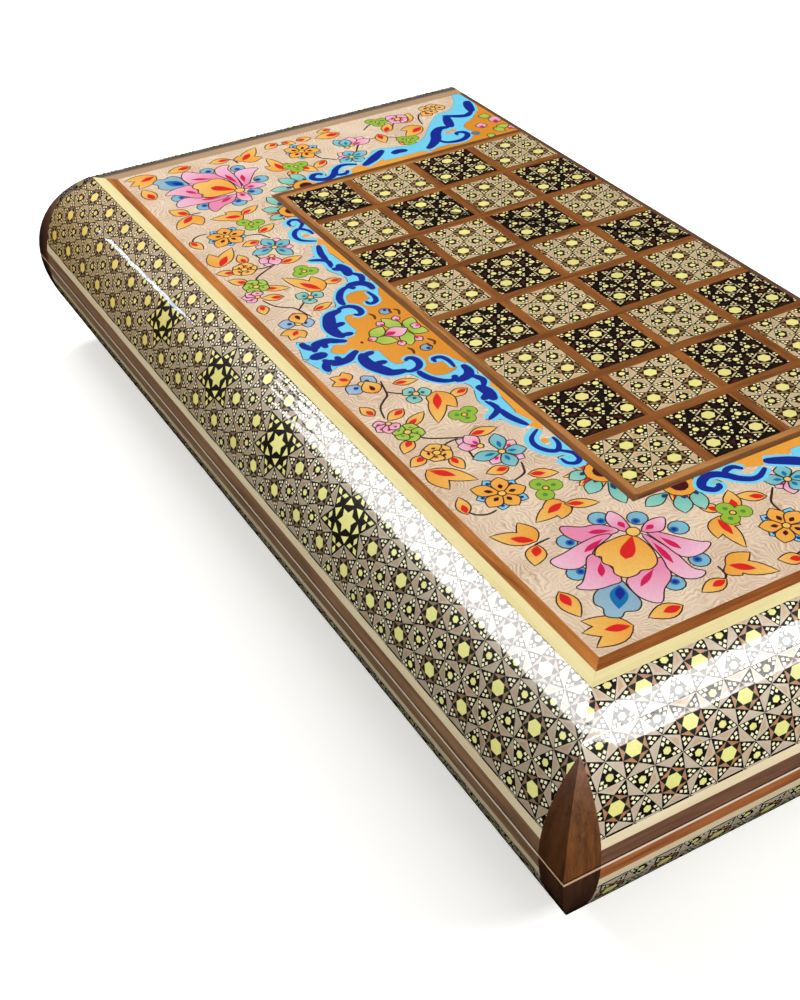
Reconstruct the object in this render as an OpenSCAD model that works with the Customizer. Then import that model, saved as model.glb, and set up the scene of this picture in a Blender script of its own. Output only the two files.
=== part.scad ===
// Inlaid folding backgammon board: two equal trays hinged along one long side.
// Each tray has a hollow inside for play and half a chessboard on its outer face.
// Units are millimetres. The closed board stands on the base tray's outer face.

/* [Board] */
// Length along the hinge
board_l = 500; // [470:1:540]
// Width of the closed board from the rounded front to the hinge face
board_w = 248; // [236:1:280]
// Height of one tray
tray_h = 48; // [42:1:52]
// Radius of the rounded sides, centred on the parting plane
side_r = 57; // [56:1:66]
// Gap between the two closed rims
rim_gap = 0.2; // [0.1:0.05:0.5]
// Width of the glue lines between neighbouring strips
glue_line = 0.05; // [0.02:0.01:0.1]

/* [Shell] */
// Width of the front rim and of the end rims
wall_t = 22; // [19:0.5:25]
// Thickness of the rail that carries the hinges
hinge_rail_t = 14; // [13:0.5:18]
// Thickness of the core panel behind the outer face
panel_t = 10; // [8:0.5:11]
// Thickness of the floor board of the playing field
floor_t = 3; // [2:0.5:5]
// Thickness of the lining strips on the inner walls
lining_t = 1.5; // [1:0.25:3]
// Side of the square corner posts
post_w = 14.2; // [11:0.2:16]

/* [Veneers] */
// Thickness of the inlaid veneer on the rounded sides
skin_t = 1.5; // [1:0.25:2.5]
// Thickness of the inlaid layer on the outer faces
face_t = 2; // [1.5:0.25:3]
// Height of the brown edging at the rim
edging_h = 7; // [5:0.5:9]
// Depth of the brown edging into the rail
edging_d = 6; // [4:0.5:7]
// Height of the cream line above the edging
side_line_h = 4; // [2.5:0.5:6]
// Width of the edge of the side veneer that shows on the outer face
skin_edge_w = 1.4; // [1:0.1:2]
// Width of the cream line around the outer face
face_line_w = 5.3; // [3:0.1:7]
// Width of the brown border inside the cream line
border_w = 4.8; // [3:0.1:7]
// Width of the inlaid band let into the rim
rim_band_w = 9; // [6:0.5:10]
// Depth of the inlaid band
rim_band_t = 1.5; // [1:0.25:2]

/* [Chessboard] */
// Pitch of the squares
pitch = 37; // [34:0.5:39]
// Width of the strips between the squares
strip_w = 5; // [2:0.25:6]
// Width of each of the two strips that frame the squares
frame_w = 2.9; // [2:0.1:4]

/* [Playing field] */
// Length of the points
point_l = 190; // [150:1:200]
// Bare width left between the feet of neighbouring points
point_gap = 1.5; // [0.5:0.25:5]
// Half width of a point at its tip
point_tip = 0.6; // [0.4:0.1:2]
// Thickness of the points, let into the floor board
point_t = 1; // [0.6:0.1:1.5]
// Bare edge between the feet of the points and the end lining
point_inset = 2; // [0:0.5:8]

/* [Hinges] */
// Number of hinges
hinge_count = 3; // [2:1:4]
// Distance from the outermost hinge centres to the ends of the board
hinge_inset = 90; // [70:1:110]
// Length of one hinge
leaf_l = 40; // [30:1:60]
// Width of a hinge leaf from the hinge face
leaf_w = 11; // [9.5:0.5:12]
// Thickness of a hinge leaf
leaf_t = 1.2; // [0.8:0.1:1.6]
// Radius of the hinge knuckles
barrel_r = 2.2; // [2:0.1:2.8]
// Radius of the hinge pins
pin_r = 1; // [0.7:0.1:1.3]
// Distance from the hinge face out to the hinge axis
axis_out = 0.15; // [0.1:0.05:0.3]
// Knuckles on one hinge, both leaves together
knuckles = 5; // [3:2:7]
// Gap between neighbouring knuckles
knuckle_gap = 0.15; // [0.1:0.05:0.3]
// Running clearance of the pins in the lid's knuckles
pin_clear = 0.05; // [0.03:0.01:0.1]
// Clearance of the knuckles in their notches
notch_clear = 0.3; // [0.2:0.05:0.5]
// Radius of a screw head
head_r = 1.9; // [1.5:0.1:2.2]
// Radius of a screw shank
shank_r = 1; // [0.7:0.1:1.2]
// Length of a screw
screw_l = 9; // [6:0.5:12]
// Depth of a screw's slot
slot_d = 0.4; // [0.2:0.1:0.6]
// Width of a screw's slot
slot_w = 0.5; // [0.3:0.1:0.7]

/* [Hidden] */
$fn = 160;
cut = 1;
tones = 2;
columns = 8;
rows = columns / 2;
points = 6;
screws_per_leaf = 3;
half_l = board_l / 2;
barrel_out = axis_out + barrel_r;
y_front = -(board_w + barrel_out) / 2;
y_back = y_front + board_w;
axis_y = y_back + axis_out;
rim_z = rim_gap / 2;
mitre = glue_line / 2;
face_z = tray_h - face_t;
panel_z = face_z - panel_t;
floor_z = panel_z - floor_t;
line_z = edging_h + side_line_h;
core_r = side_r - skin_t;
arc_inset = side_r - sqrt(side_r * side_r - tray_h * tray_h);
line_outer = arc_inset + skin_edge_w;
line_inner = line_outer + face_line_w;
border_inner = line_inner + border_w;
squares_half = columns * pitch / 2;
squares_front = y_back - rows * pitch;
frame_out = 2 * frame_w - strip_w / 2;
rim_band_in = (wall_t + edging_d - rim_band_w) / 2;
well_half = half_l - wall_t - lining_t;
well_front = y_front + wall_t + lining_t;
well_back = y_back - hinge_rail_t - lining_t;
well_w = well_back - well_front;
point_pitch = well_w / points;
point_half = (point_pitch - point_gap) / 2;
hinge_step = (board_l - 2 * hinge_inset) / (hinge_count - 1);
knuckle_l = leaf_l / knuckles;
notch_r = barrel_r + notch_clear;
screw_step = leaf_l / screws_per_leaf;
screw_y = y_back - (leaf_w + notch_r) / 2;
head_h = leaf_t - slot_d / 2;

// Places a piece of a tray, drawn with z measured from the parting plane outwards
module base_side() { translate([0, 0, tray_h]) mirror([0, 0, 1]) children(); }
module lid_side() { translate([0, 0, tray_h]) children(); }

// A box between two corners
module box(low, high) { translate(low) cube(high - low); }

// The space inside the rounded front, and the space inside both rounded ends
module front_space(r) {
    rotate([90, 0, 90]) linear_extrude(2 * board_l, center = true) {
        translate([y_front + side_r, 0]) circle(r);
        translate([y_front + side_r, -tray_h - cut]) square([board_w, 2 * (tray_h + cut)]);
    }
}
module end_space(r) {
    rotate([90, 0, 0]) linear_extrude(2 * board_l, center = true) {
        for (side = [-1, 1]) translate([side * (half_l - side_r), 0]) circle(r);
        square([2 * (half_l - side_r), 2 * (tray_h + cut)], center = true);
    }
}

// Plan outlines of the front and end bands, which meet at 45 degrees in the corners
module front_plan(deep) {
    polygon([[-half_l + mitre, y_front], [half_l - mitre, y_front],
        [half_l - deep - mitre, y_front + deep], [-half_l + deep + mitre, y_front + deep]]);
}
module end_plan(side, deep) {
    polygon([[side * half_l, y_front + mitre], [side * half_l, y_back], [side * (half_l - deep), y_back],
        [side * (half_l - deep), y_front + deep + mitre]]);
}

// Prisms over those bands, between two depths from the outside
module front_band(out, deep, low_z, high_z) {
    difference() {
        translate([0, 0, low_z]) linear_extrude(high_z - low_z) front_plan(deep);
        if (out > 0) box([-half_l - cut, y_front - cut, low_z - cut], [half_l + cut, y_front + out, high_z + cut]);
    }
}
module end_band(side, out, deep, low_z, high_z) {
    difference() {
        translate([0, 0, low_z]) linear_extrude(high_z - low_z) end_plan(side, deep);
        if (out > 0) translate([side * half_l, 0, 0])
            box([-out, y_front - cut, low_z - cut], [out, y_back + cut, high_z + cut]);
    }
}
module three_bands(out, deep, low_z, high_z) {
    front_band(out, deep, low_z, high_z);
    for (side = [-1, 1]) end_band(side, out, deep, low_z, high_z);
}

// The square space of a corner post
module post_space(side) {
    translate([side * (half_l - post_w / 2), y_front + post_w / 2, tray_h / 2])
        cube([post_w, post_w, tray_h + 2 * cut], center = true);
}

// The space of the brown edging at the rim
module edging_space() {
    difference() {
        three_bands(0, edging_d, rim_z, edging_h);
        for (side = [-1, 1]) post_space(side);
    }
}

// The space of the inlaid band in the rims
module rim_band_space() { three_bands(rim_band_in, rim_band_in + rim_band_w, rim_z, rim_z + rim_band_t); }

// Frame rails of a tray
module front_rail() {
    difference() {
        intersection() {
            front_band(0, wall_t, rim_z, panel_z);
            front_space(core_r);
        }
        edging_space();
        rim_band_space();
        for (side = [-1, 1]) post_space(side);
    }
}
module end_rail(side) {
    difference() {
        intersection() {
            end_band(side, 0, wall_t, rim_z, panel_z);
            end_space(core_r);
        }
        edging_space();
        rim_band_space();
        post_space(side);
    }
}
module hinge_rail() {
    difference() {
        box([-half_l + wall_t, y_back - hinge_rail_t, rim_z], [half_l - wall_t, y_back, panel_z]);
        at_hinges() {
            rotate([0, 90, 0]) cylinder(r = notch_r, h = leaf_l + notch_clear, center = true);
            translate([0, -leaf_w / 2 - axis_out, rim_z + leaf_t / 2 - cut / 2])
                cube([leaf_l, leaf_w, leaf_t + cut], center = true);
            at_screws() cylinder(r = shank_r, h = 2 * screw_l + 2 * rim_z, center = true);
        }
    }
}

// The rounded core, and the core panel over the rails, its edges rounded with them
module core_space() {
    intersection() {
        box([-half_l, y_front, 0], [half_l, y_back + cut, face_z]);
        front_space(core_r);
        end_space(core_r);
    }
}
module panel() {
    intersection() {
        box([-half_l, y_front, panel_z], [half_l, y_back, tray_h]);
        core_space();
    }
}

// Inlaid veneer that follows the rounded sides
module veneer_cut() {
    box([-half_l + line_outer, y_front + line_outer, face_z], [half_l - line_outer, y_back + cut, tray_h + cut]);
    for (side = [-1, 1]) post_space(side);
}
module front_veneer() {
    difference() {
        intersection() {
            front_band(0, border_inner, line_z, tray_h);
            front_space(side_r);
        }
        intersection() {
            front_space(core_r);
            box([-half_l, y_front, 0], [half_l, y_back, face_z]);
        }
        veneer_cut();
    }
}
module end_veneer(side) {
    difference() {
        intersection() {
            end_band(side, 0, border_inner, line_z, tray_h);
            end_space(side_r);
        }
        intersection() {
            end_space(core_r);
            box([-half_l - cut, y_front, 0], [half_l + cut, y_back + cut, face_z]);
        }
        veneer_cut();
    }
}

// Wooden posts that show as pointed guards at the two front corners
module corner_posts() {
    difference() {
        for (side = [-1, 1])
            intersection() {
                post_space(side);
                box([-half_l, y_front, rim_z], [half_l, y_back, tray_h]);
                front_space(side_r);
                end_space(side_r);
            }
        rim_band_space();
    }
}

// Brown edging at the rim and the cream line above it
module rim_edging() {
    intersection() {
        edging_space();
        front_space(side_r);
        end_space(side_r);
    }
}
module side_line() {
    difference() {
        intersection() {
            front_band(0, wall_t, edging_h, line_z);
            front_space(side_r);
        }
        front_space(core_r);
        for (side = [-1, 1]) post_space(side);
    }
    for (side = [-1, 1]) difference() {
        intersection() {
            end_band(side, 0, wall_t, edging_h, line_z);
            end_space(side_r);
        }
        end_space(core_r);
        post_space(side);
    }
}

// Inlaid layer of the outer face
module face_line() { three_bands(line_outer, line_inner, face_z, tray_h); }
module face_border() { three_bands(line_inner, border_inner, face_z, tray_h); }
module hinge_edge() {
    box([-half_l + border_inner, y_back - strip_w / 2, face_z], [half_l - border_inner, y_back, tray_h]);
}
module frame_strips(inner) {
    outer = inner + frame_w;
    for (side = [-1, 1]) translate([0, 0, face_z]) linear_extrude(face_t) polygon([
        [side * (squares_half + inner), y_back - strip_w / 2],
        [side * (squares_half + outer), y_back - strip_w / 2],
        [side * (squares_half + outer), squares_front - outer + mitre],
        [side * (squares_half + inner), squares_front - inner + mitre]]);
    translate([0, 0, face_z]) linear_extrude(face_t) polygon([
        [-squares_half - outer + mitre, squares_front - outer],
        [squares_half + outer - mitre, squares_front - outer],
        [squares_half + inner - mitre, squares_front - inner],
        [-squares_half - inner + mitre, squares_front - inner]]);
}
module inner_frame() { frame_strips(-strip_w / 2); }
module outer_frame() { frame_strips(-strip_w / 2 + frame_w); }
module square_strips() {
    for (column = [1 : columns - 1]) translate([-squares_half + column * pitch, 0, 0])
        box([-strip_w / 2, squares_front + strip_w / 2, face_z], [strip_w / 2, y_back - strip_w / 2, tray_h]);
    for (row = [1 : rows - 1], column = [0 : columns - 1])
        translate([-squares_half + column * pitch, squares_front + row * pitch, 0])
            box([strip_w / 2 + mitre, -strip_w / 2, face_z], [pitch - strip_w / 2 - mitre, strip_w / 2, tray_h]);
}
module squares(tone) {
    for (row = [0 : rows - 1], column = [0 : columns - 1])
        if ((row + column) % tones == tone)
            translate([-squares_half + column * pitch, squares_front + row * pitch, 0])
                box([strip_w / 2, strip_w / 2, face_z], [pitch - strip_w / 2, pitch - strip_w / 2, tray_h]);
}
module painted_panel() {
    difference() {
        box([-half_l + border_inner, y_front + border_inner, face_z],
            [half_l - border_inner, y_back - strip_w / 2, tray_h]);
        box([-squares_half - frame_out, squares_front - frame_out, face_z - cut],
            [squares_half + frame_out, y_back + cut, tray_h + cut]);
    }
}

// Inside of a tray
module rim_band() { rim_band_space(); }
module lining() {
    for (y = [y_front + wall_t, well_back])
        box([-half_l + wall_t, y, rim_z], [half_l - wall_t, y + lining_t, floor_z]);
    for (side = [-1, 1]) translate([side * (well_half + lining_t / 2), 0, 0])
        box([-lining_t / 2, well_front + mitre, rim_z], [lining_t / 2, well_back - mitre, floor_z]);
}
module point_outline(side, place) {
    foot = side * (well_half - point_inset);
    mid = well_front + (place + 1 / 2) * point_pitch;
    polygon([[foot, mid - point_half], [foot, mid + point_half],
        [foot - side * point_l, mid + point_tip], [foot - side * point_l, mid - point_tip]]);
}
module points_of(tone, shift) {
    for (side = [-1, 1], place = [0 : points - 1])
        if ((place + (side > 0 ? 0 : 1) + shift) % tones == tone)
            translate([0, 0, floor_z]) linear_extrude(point_t) point_outline(side, place);
}
module floor_board() {
    difference() {
        box([-half_l + wall_t, y_front + wall_t, floor_z], [half_l - wall_t, y_back - hinge_rail_t, panel_z]);
        for (side = [-1, 1], place = [0 : points - 1])
            translate([0, 0, floor_z - cut]) linear_extrude(point_t + cut) point_outline(side, place);
    }
}

// Hinges, drawn about the hinge axis
module at_hinges() {
    for (count = [0 : hinge_count - 1])
        translate([-half_l + hinge_inset + count * hinge_step, axis_y, 0]) children();
}
module at_screws() {
    for (count = [0 : screws_per_leaf - 1])
        translate([(count - (screws_per_leaf - 1) / 2) * screw_step, screw_y - axis_y, 0]) children();
}
module knuckle(place, bore_r) {
    translate([-leaf_l / 2 + (place + 1 / 2) * knuckle_l, 0, 0]) difference() {
        union() {
            rotate([0, 90, 0]) cylinder(r = barrel_r, h = knuckle_l - knuckle_gap, center = true);
            translate([0, -notch_r / 2, rim_z + leaf_t / 2])
                cube([knuckle_l - knuckle_gap, notch_r, leaf_t], center = true);
        }
        rotate([0, 90, 0]) cylinder(r = bore_r, h = knuckle_l + cut, center = true);
    }
}
module screw_cut() {
    translate([0, 0, rim_z]) cylinder(r1 = head_r, r2 = shank_r, h = head_h);
    cylinder(r = shank_r, h = screw_l);
}
module leaf(first, bore_r) {
    difference() {
        translate([-leaf_l / 2, -axis_out - leaf_w, rim_z]) cube([leaf_l, leaf_w + axis_out - notch_r, leaf_t]);
        at_screws() screw_cut();
    }
    for (place = [first : 2 : knuckles - 1]) knuckle(place, bore_r);
}
module screws() {
    at_hinges() at_screws() difference() {
        union() {
            translate([0, 0, rim_z]) cylinder(r1 = head_r, r2 = shank_r, h = head_h);
            translate([0, 0, rim_z]) cylinder(r = shank_r, h = screw_l);
        }
        translate([0, 0, rim_z]) cube([2 * head_r + cut, slot_w, 2 * slot_d], center = true);
    }
}

// The base tray
module base_panel() { color("burlywood") base_side() panel(); }
module base_front_rail() { color("saddlebrown") base_side() front_rail(); }
module base_left_rail() { color("saddlebrown") base_side() end_rail(-1); }
module base_right_rail() { color("saddlebrown") base_side() end_rail(1); }
module base_hinge_rail() { color("sienna") base_side() hinge_rail(); }
module base_front_veneer() { color("#8f8358") base_side() front_veneer(); }
module base_left_veneer() { color("#8f8358") base_side() end_veneer(-1); }
module base_right_veneer() { color("#8f8358") base_side() end_veneer(1); }
module base_corner_posts() { color("#5a2f12") base_side() corner_posts(); }
module base_rim_edging() { color("#7a4a28") base_side() rim_edging(); }
module base_side_line() { color("#e6d79a") base_side() side_line(); }
module base_rim_band() { color("#8f8358") base_side() rim_band(); }
module base_face_line() { color("#efe6ae") base_side() face_line(); }
module base_face_border() { color("#94531f") base_side() face_border(); }
module base_hinge_edge() { color("#8a5230") base_side() hinge_edge(); }
module base_inner_frame() { color("#9a6230") base_side() inner_frame(); }
module base_outer_frame() { color("#5e3312") base_side() outer_frame(); }
module base_square_strips() { color("#a0632c") base_side() square_strips(); }
module base_light_squares() { color("#d8c8a0") base_side() squares(0); }
module base_dark_squares() { color("#2e2a1c") base_side() squares(1); }
module base_painted_panel() { color("#e4cdb6") base_side() painted_panel(); }
module base_lining() { color("#6b3d1c") base_side() lining(); }
module base_floor() { color("#b5834a") base_side() floor_board(); }
module base_light_points() { color("#e3cf95") base_side() points_of(0, 0); }
module base_dark_points() { color("#3d2414") base_side() points_of(1, 0); }

// The lid tray, whose squares and points carry on from the base tray's when the board is open
module lid_panel() { color("burlywood") lid_side() panel(); }
module lid_front_rail() { color("saddlebrown") lid_side() front_rail(); }
module lid_left_rail() { color("saddlebrown") lid_side() end_rail(-1); }
module lid_right_rail() { color("saddlebrown") lid_side() end_rail(1); }
module lid_hinge_rail() { color("sienna") lid_side() hinge_rail(); }
module lid_front_veneer() { color("#8f8358") lid_side() front_veneer(); }
module lid_left_veneer() { color("#8f8358") lid_side() end_veneer(-1); }
module lid_right_veneer() { color("#8f8358") lid_side() end_veneer(1); }
module lid_corner_posts() { color("#5a2f12") lid_side() corner_posts(); }
module lid_rim_edging() { color("#7a4a28") lid_side() rim_edging(); }
module lid_side_line() { color("#e6d79a") lid_side() side_line(); }
module lid_rim_band() { color("#8f8358") lid_side() rim_band(); }
module lid_face_line() { color("#efe6ae") lid_side() face_line(); }
module lid_face_border() { color("#94531f") lid_side() face_border(); }
module lid_hinge_edge() { color("#8a5230") lid_side() hinge_edge(); }
module lid_inner_frame() { color("#9a6230") lid_side() inner_frame(); }
module lid_outer_frame() { color("#5e3312") lid_side() outer_frame(); }
module lid_square_strips() { color("#a0632c") lid_side() square_strips(); }
module lid_light_squares() { color("#d8c8a0") lid_side() squares(1); }
module lid_dark_squares() { color("#2e2a1c") lid_side() squares(0); }
module lid_painted_panel() { color("#e4cdb6") lid_side() painted_panel(); }
module lid_lining() { color("#6b3d1c") lid_side() lining(); }
module lid_floor() { color("#b5834a") lid_side() floor_board(); }
module lid_light_points() { color("#e3cf95") lid_side() points_of(0, 1); }
module lid_dark_points() { color("#3d2414") lid_side() points_of(1, 1); }

// The hinges
module hinge_leaves_base() { color("goldenrod") base_side() at_hinges() leaf(0, pin_r); }
module hinge_leaves_lid() { color("goldenrod") lid_side() at_hinges() leaf(1, pin_r + pin_clear); }
module hinge_pins() {
    color("gold") base_side() at_hinges()
        rotate([0, 90, 0]) cylinder(r = pin_r, h = leaf_l - knuckle_gap, center = true);
}
module hinge_screws_base() { color("darkgoldenrod") base_side() screws(); }
module hinge_screws_lid() { color("darkgoldenrod") lid_side() screws(); }

base_panel();
base_front_rail();
base_left_rail();
base_right_rail();
base_hinge_rail();
base_front_veneer();
base_left_veneer();
base_right_veneer();
base_corner_posts();
base_rim_edging();
base_side_line();
base_rim_band();
base_face_line();
base_face_border();
base_hinge_edge();
base_inner_frame();
base_outer_frame();
base_square_strips();
base_light_squares();
base_dark_squares();
base_painted_panel();
base_lining();
base_floor();
base_light_points();
base_dark_points();
lid_panel();
lid_front_rail();
lid_left_rail();
lid_right_rail();
lid_hinge_rail();
lid_front_veneer();
lid_left_veneer();
lid_right_veneer();
lid_corner_posts();
lid_rim_edging();
lid_side_line();
lid_rim_band();
lid_face_line();
lid_face_border();
lid_hinge_edge();
lid_inner_frame();
lid_outer_frame();
lid_square_strips();
lid_light_squares();
lid_dark_squares();
lid_painted_panel();
lid_lining();
lid_floor();
lid_light_points();
lid_dark_points();
hinge_leaves_base();
hinge_leaves_lid();
hinge_pins();
hinge_screws_base();
hinge_screws_lid();
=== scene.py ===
"""Looks of the inlaid folding backgammon board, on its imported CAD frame.

Lengths are in millimetres until a mesh is made.
"""

import math

import bmesh
import bpy
import numpy as np
from mathutils import Matrix, Vector
from mathutils.geometry import delaunay_2d_cdt


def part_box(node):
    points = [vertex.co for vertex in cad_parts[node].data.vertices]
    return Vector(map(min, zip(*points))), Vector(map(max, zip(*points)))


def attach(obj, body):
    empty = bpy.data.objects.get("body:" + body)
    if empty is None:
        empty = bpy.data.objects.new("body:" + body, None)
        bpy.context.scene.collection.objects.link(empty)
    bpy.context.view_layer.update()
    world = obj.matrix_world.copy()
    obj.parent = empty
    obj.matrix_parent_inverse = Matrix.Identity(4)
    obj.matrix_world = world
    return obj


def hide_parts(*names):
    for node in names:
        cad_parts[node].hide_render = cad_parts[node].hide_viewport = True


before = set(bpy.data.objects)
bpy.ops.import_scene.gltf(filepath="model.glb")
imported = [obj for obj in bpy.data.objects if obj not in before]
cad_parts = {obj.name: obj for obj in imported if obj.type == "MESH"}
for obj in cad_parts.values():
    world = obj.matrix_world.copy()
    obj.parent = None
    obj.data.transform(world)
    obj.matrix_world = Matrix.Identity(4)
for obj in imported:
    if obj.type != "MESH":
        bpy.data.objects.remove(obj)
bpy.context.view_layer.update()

# The board's measures, as in the CAD source
TRAY_H, SIDE_R, SKIN_T, FACE_T = 48.0, 57.0, 1.5, 2.0
HALF_L, Y_FRONT, Y_BACK = 250.0, -125.175, 122.825
POST_W, LINE_Z, SKIN_EDGE = 14.2, 11.0, 1.4
PITCH, STRIP_W, SQUARES_FRONT = 37.0, 5.0, -25.175
ARC_INSET = SIDE_R - math.sqrt(SIDE_R**2 - TRAY_H**2)
FACE_EDGE = ARC_INSET + SKIN_EDGE
RIM_Z, RIM_BAND_T, RIM_BAND_W, RIM_BAND_IN = 0.1, 1.5, 9.0, 9.5
ARRIS, ARRIS_LEAN, GLUE = 0.5, 0.12, 0.05
LOW_V, TOP_V = SIDE_R * math.asin(LINE_Z / SIDE_R), SIDE_R * math.asin(TRAY_H / SIDE_R)
POST_V = SIDE_R * math.acos(1 - POST_W / SIDE_R)


def linear(r, g, b):
    """An 8-bit display colour as scene-linear red, green and blue."""
    return tuple((c / 255 / 12.92) if c <= 10 else ((c / 255 + 0.055) / 1.055) ** 2.4 for c in (r, g, b))


# Node helpers
def add(tree, kind, props=None, inputs=None):
    made = tree.nodes.new(kind)
    for name, value in (props or {}).items():
        setattr(made, name, value)
    for name, value in (inputs or {}).items():
        socket = made.inputs[name]
        if isinstance(value, bpy.types.NodeSocket):
            tree.links.new(value, socket)
        else:
            socket.default_value = value
    return made


def calc(tree, operation, *values):
    return add(tree, "ShaderNodeMath", {"operation": operation}, dict(enumerate(values))).outputs[0]


def blend(tree, factor, a, b, mode="MIX"):
    """A mix of two colours. The node's sockets for colours are its inputs 6 and 7 and its output 2."""
    made = tree.nodes.new("ShaderNodeMix")
    made.data_type, made.blend_type = "RGBA", mode
    for socket, value in ((made.inputs[0], factor), (made.inputs[6], a), (made.inputs[7], b)):
        if isinstance(value, bpy.types.NodeSocket):
            tree.links.new(value, socket)
        else:
            socket.default_value = value if isinstance(value, (int, float)) else (*value, 1)[:4]
    return made.outputs[2]


def ramp(tree, factor, stops):
    made = add(tree, "ShaderNodeValToRGB", None, {0: factor})
    band = made.color_ramp
    while len(band.elements) < len(stops):
        band.elements.new(0.5)
    for element, (place, colour) in zip(band.elements, stops):
        element.position, element.color = place, (*colour, 1)
    return made.outputs[0]


def ranged(tree, value, low, high, to_low=0.0, to_high=1.0):
    """The value moved from one range to another, and held at its ends."""
    return add(tree, "ShaderNodeMapRange", None,
               {0: value, 1: low, 2: high, 3: to_low, 4: to_high}).outputs[0]


def axes(tree, vector):
    return add(tree, "ShaderNodeSeparateXYZ", None, {0: vector}).outputs


def joined(tree, x, y, z):
    return add(tree, "ShaderNodeCombineXYZ", None, {0: x, 1: y, 2: z}).outputs[0]


def scaled(tree, vector, *scale):
    return add(tree, "ShaderNodeMapping", None, {"Vector": vector, "Scale": scale}).outputs[0]


def noise(tree, vector, scale, detail=2.0, rough=0.5, distort=0.0):
    inputs = {"Vector": vector, "Scale": scale, "Detail": detail, "Roughness": rough, "Distortion": distort}
    return add(tree, "ShaderNodeTexNoise", None, inputs).outputs["Fac"]


def new_group(name, inputs, outputs):
    """An empty node group with its sockets, each a name and a kind, as the tree, its start and its end."""
    tree = bpy.data.node_groups.new(name, "ShaderNodeTree")
    for sockets, way in ((inputs, "INPUT"), (outputs, "OUTPUT")):
        for socket, kind in sockets:
            tree.interface.new_socket(socket, in_out=way, socket_type="NodeSocket" + kind)
    return tree, tree.nodes.new("NodeGroupInput").outputs, tree.nodes.new("NodeGroupOutput").inputs


def grain_group():
    """Wood figure along the vector's X, in millimetres: broad figure, fine fibres and short dark pores."""
    outputs = [(name, "Float") for name in ("Figure", "Fibre", "Pores")]
    tree, start, end = new_group("wood_grain", [("Vector", "Vector")], outputs)
    figure = noise(tree, scaled(tree, start[0], 0.012, 0.16, 0.16), 1.0, 3.0, 0.6, 1.2)
    fibre = noise(tree, scaled(tree, start[0], 0.06, 1.4, 1.4), 1.0, 4.0, 0.7, 0.3)
    pores = ranged(tree, noise(tree, scaled(tree, start[0], 0.22, 4.5, 4.5), 1.0, 2.0, 0.6), 0.6, 0.72)
    for socket, value in zip(end, (figure, fibre, pores)):
        tree.links.new(value, socket)
    return tree


def mottle_group():
    """The unevenness of a small piece's colour: a shade round 1 to multiply by, and the noise behind it."""
    inputs = [("Vector", "Vector"), ("Scale", "Float"), ("Amount", "Float")]
    tree, start, end = new_group("mottle", inputs, [("Shade", "Float"), ("Height", "Float")])
    vector, scale, amount = start[0], start[1], start[2]
    fine = noise(tree, vector, scale, 3.0, 0.65, 0.4)
    swing = ranged(tree, fine, 0.25, 0.75, -1.0, 1.0)
    tree.links.new(calc(tree, "MULTIPLY_ADD", swing, amount, 1.0), end[0])
    tree.links.new(fine, end[1])
    return tree


def mitre_group():
    """Where a spot lies in the bands along the sides.

    From Left is the distance in from the left end in millimetres. The others are masks: the left end's side
    of its mitre, either end's side, and two places where shade is painted: the strip beside the far corner's
    mitre off the rim, and the board near the left end.
    """
    outputs = [(name, "Float") for name in ("From Left", "Left Band", "End Band", "Edge Shade", "Corner Shade")]
    tree, start, end = new_group("mitres", [("Vector", "Vector")], outputs)
    x, y, z = axes(tree, start[0])
    from_left, from_front = calc(tree, "ADD", x, HALF_L), calc(tree, "SUBTRACT", y, Y_FRONT)
    from_end = calc(tree, "SUBTRACT", HALF_L, calc(tree, "ABSOLUTE", x))
    past = calc(tree, "SUBTRACT", from_left, from_front)
    # Masks for painted shade: the strip beside the far corner's mitre, away from the rim, and the board near
    # the left end
    strip = calc(tree, "MULTIPLY", calc(tree, "GREATER_THAN", past, 0.0),
                 calc(tree, "LESS_THAN", past, SHADE_STRIP_W))
    over = calc(tree, "ABSOLUTE", calc(tree, "SUBTRACT", z, TRAY_H))
    edge = calc(tree, "MULTIPLY", strip, calc(tree, "GREATER_THAN", over, LINE_Z / 2))
    corner = ranged(tree, from_left, 2 * SHADE_STRIP_W, SHADE_STRIP_W)
    bands = (calc(tree, "LESS_THAN", from_left, from_front), calc(tree, "LESS_THAN", from_end, from_front))
    for socket, value in zip(end, (from_left, *bands, edge, corner)):
        tree.links.new(value, socket)
    return tree


def parting_group():
    """1 between two heights over the parting plane, in millimetres, otherwise 0."""
    inputs = [("Vector", "Vector"), ("Low", "Float"), ("High", "Float")]
    tree, start, end = new_group("parting_line", inputs, [("Mask", "Float")])
    over = calc(tree, "SUBTRACT", axes(tree, start[0])[2], TRAY_H)
    inside = (calc(tree, "GREATER_THAN", over, start[1]), calc(tree, "LESS_THAN", over, start[2]))
    tree.links.new(calc(tree, "MULTIPLY", *inside), end[0])
    return tree


# Width of the painted shade down the far corner, and what the inlay and the wood there are multiplied by
SHADE_STRIP_W = 6.0
EDGE_SHADE, CORNER_SHADE = (0.24, 0.23, 0.24), (0.42, 0.40, 0.40)
GRAIN, MOTTLE, MITRES, PARTING = grain_group(), mottle_group(), mitre_group(), parting_group()
# Coat roughness of the outside and of the playing surfaces inside
GLOSS, SATIN = 0.018, 0.3


def placed(tree, group, **inputs):
    """A node group placed in a material, with its inputs by name."""
    return add(tree, "ShaderNodeGroup", {"node_tree": group}, inputs).outputs


def new_material(name):
    """An empty material, its node tree and its place in millimetres."""
    made = bpy.data.materials.new(name)
    made.use_nodes = True
    tree = made.node_tree
    tree.nodes.clear()
    coords = add(tree, "ShaderNodeTexCoord").outputs["Object"]
    place = add(tree, "ShaderNodeVectorMath", {"operation": "SCALE"}, {0: coords, "Scale": 1000.0}).outputs[0]
    return made, tree, place


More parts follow.
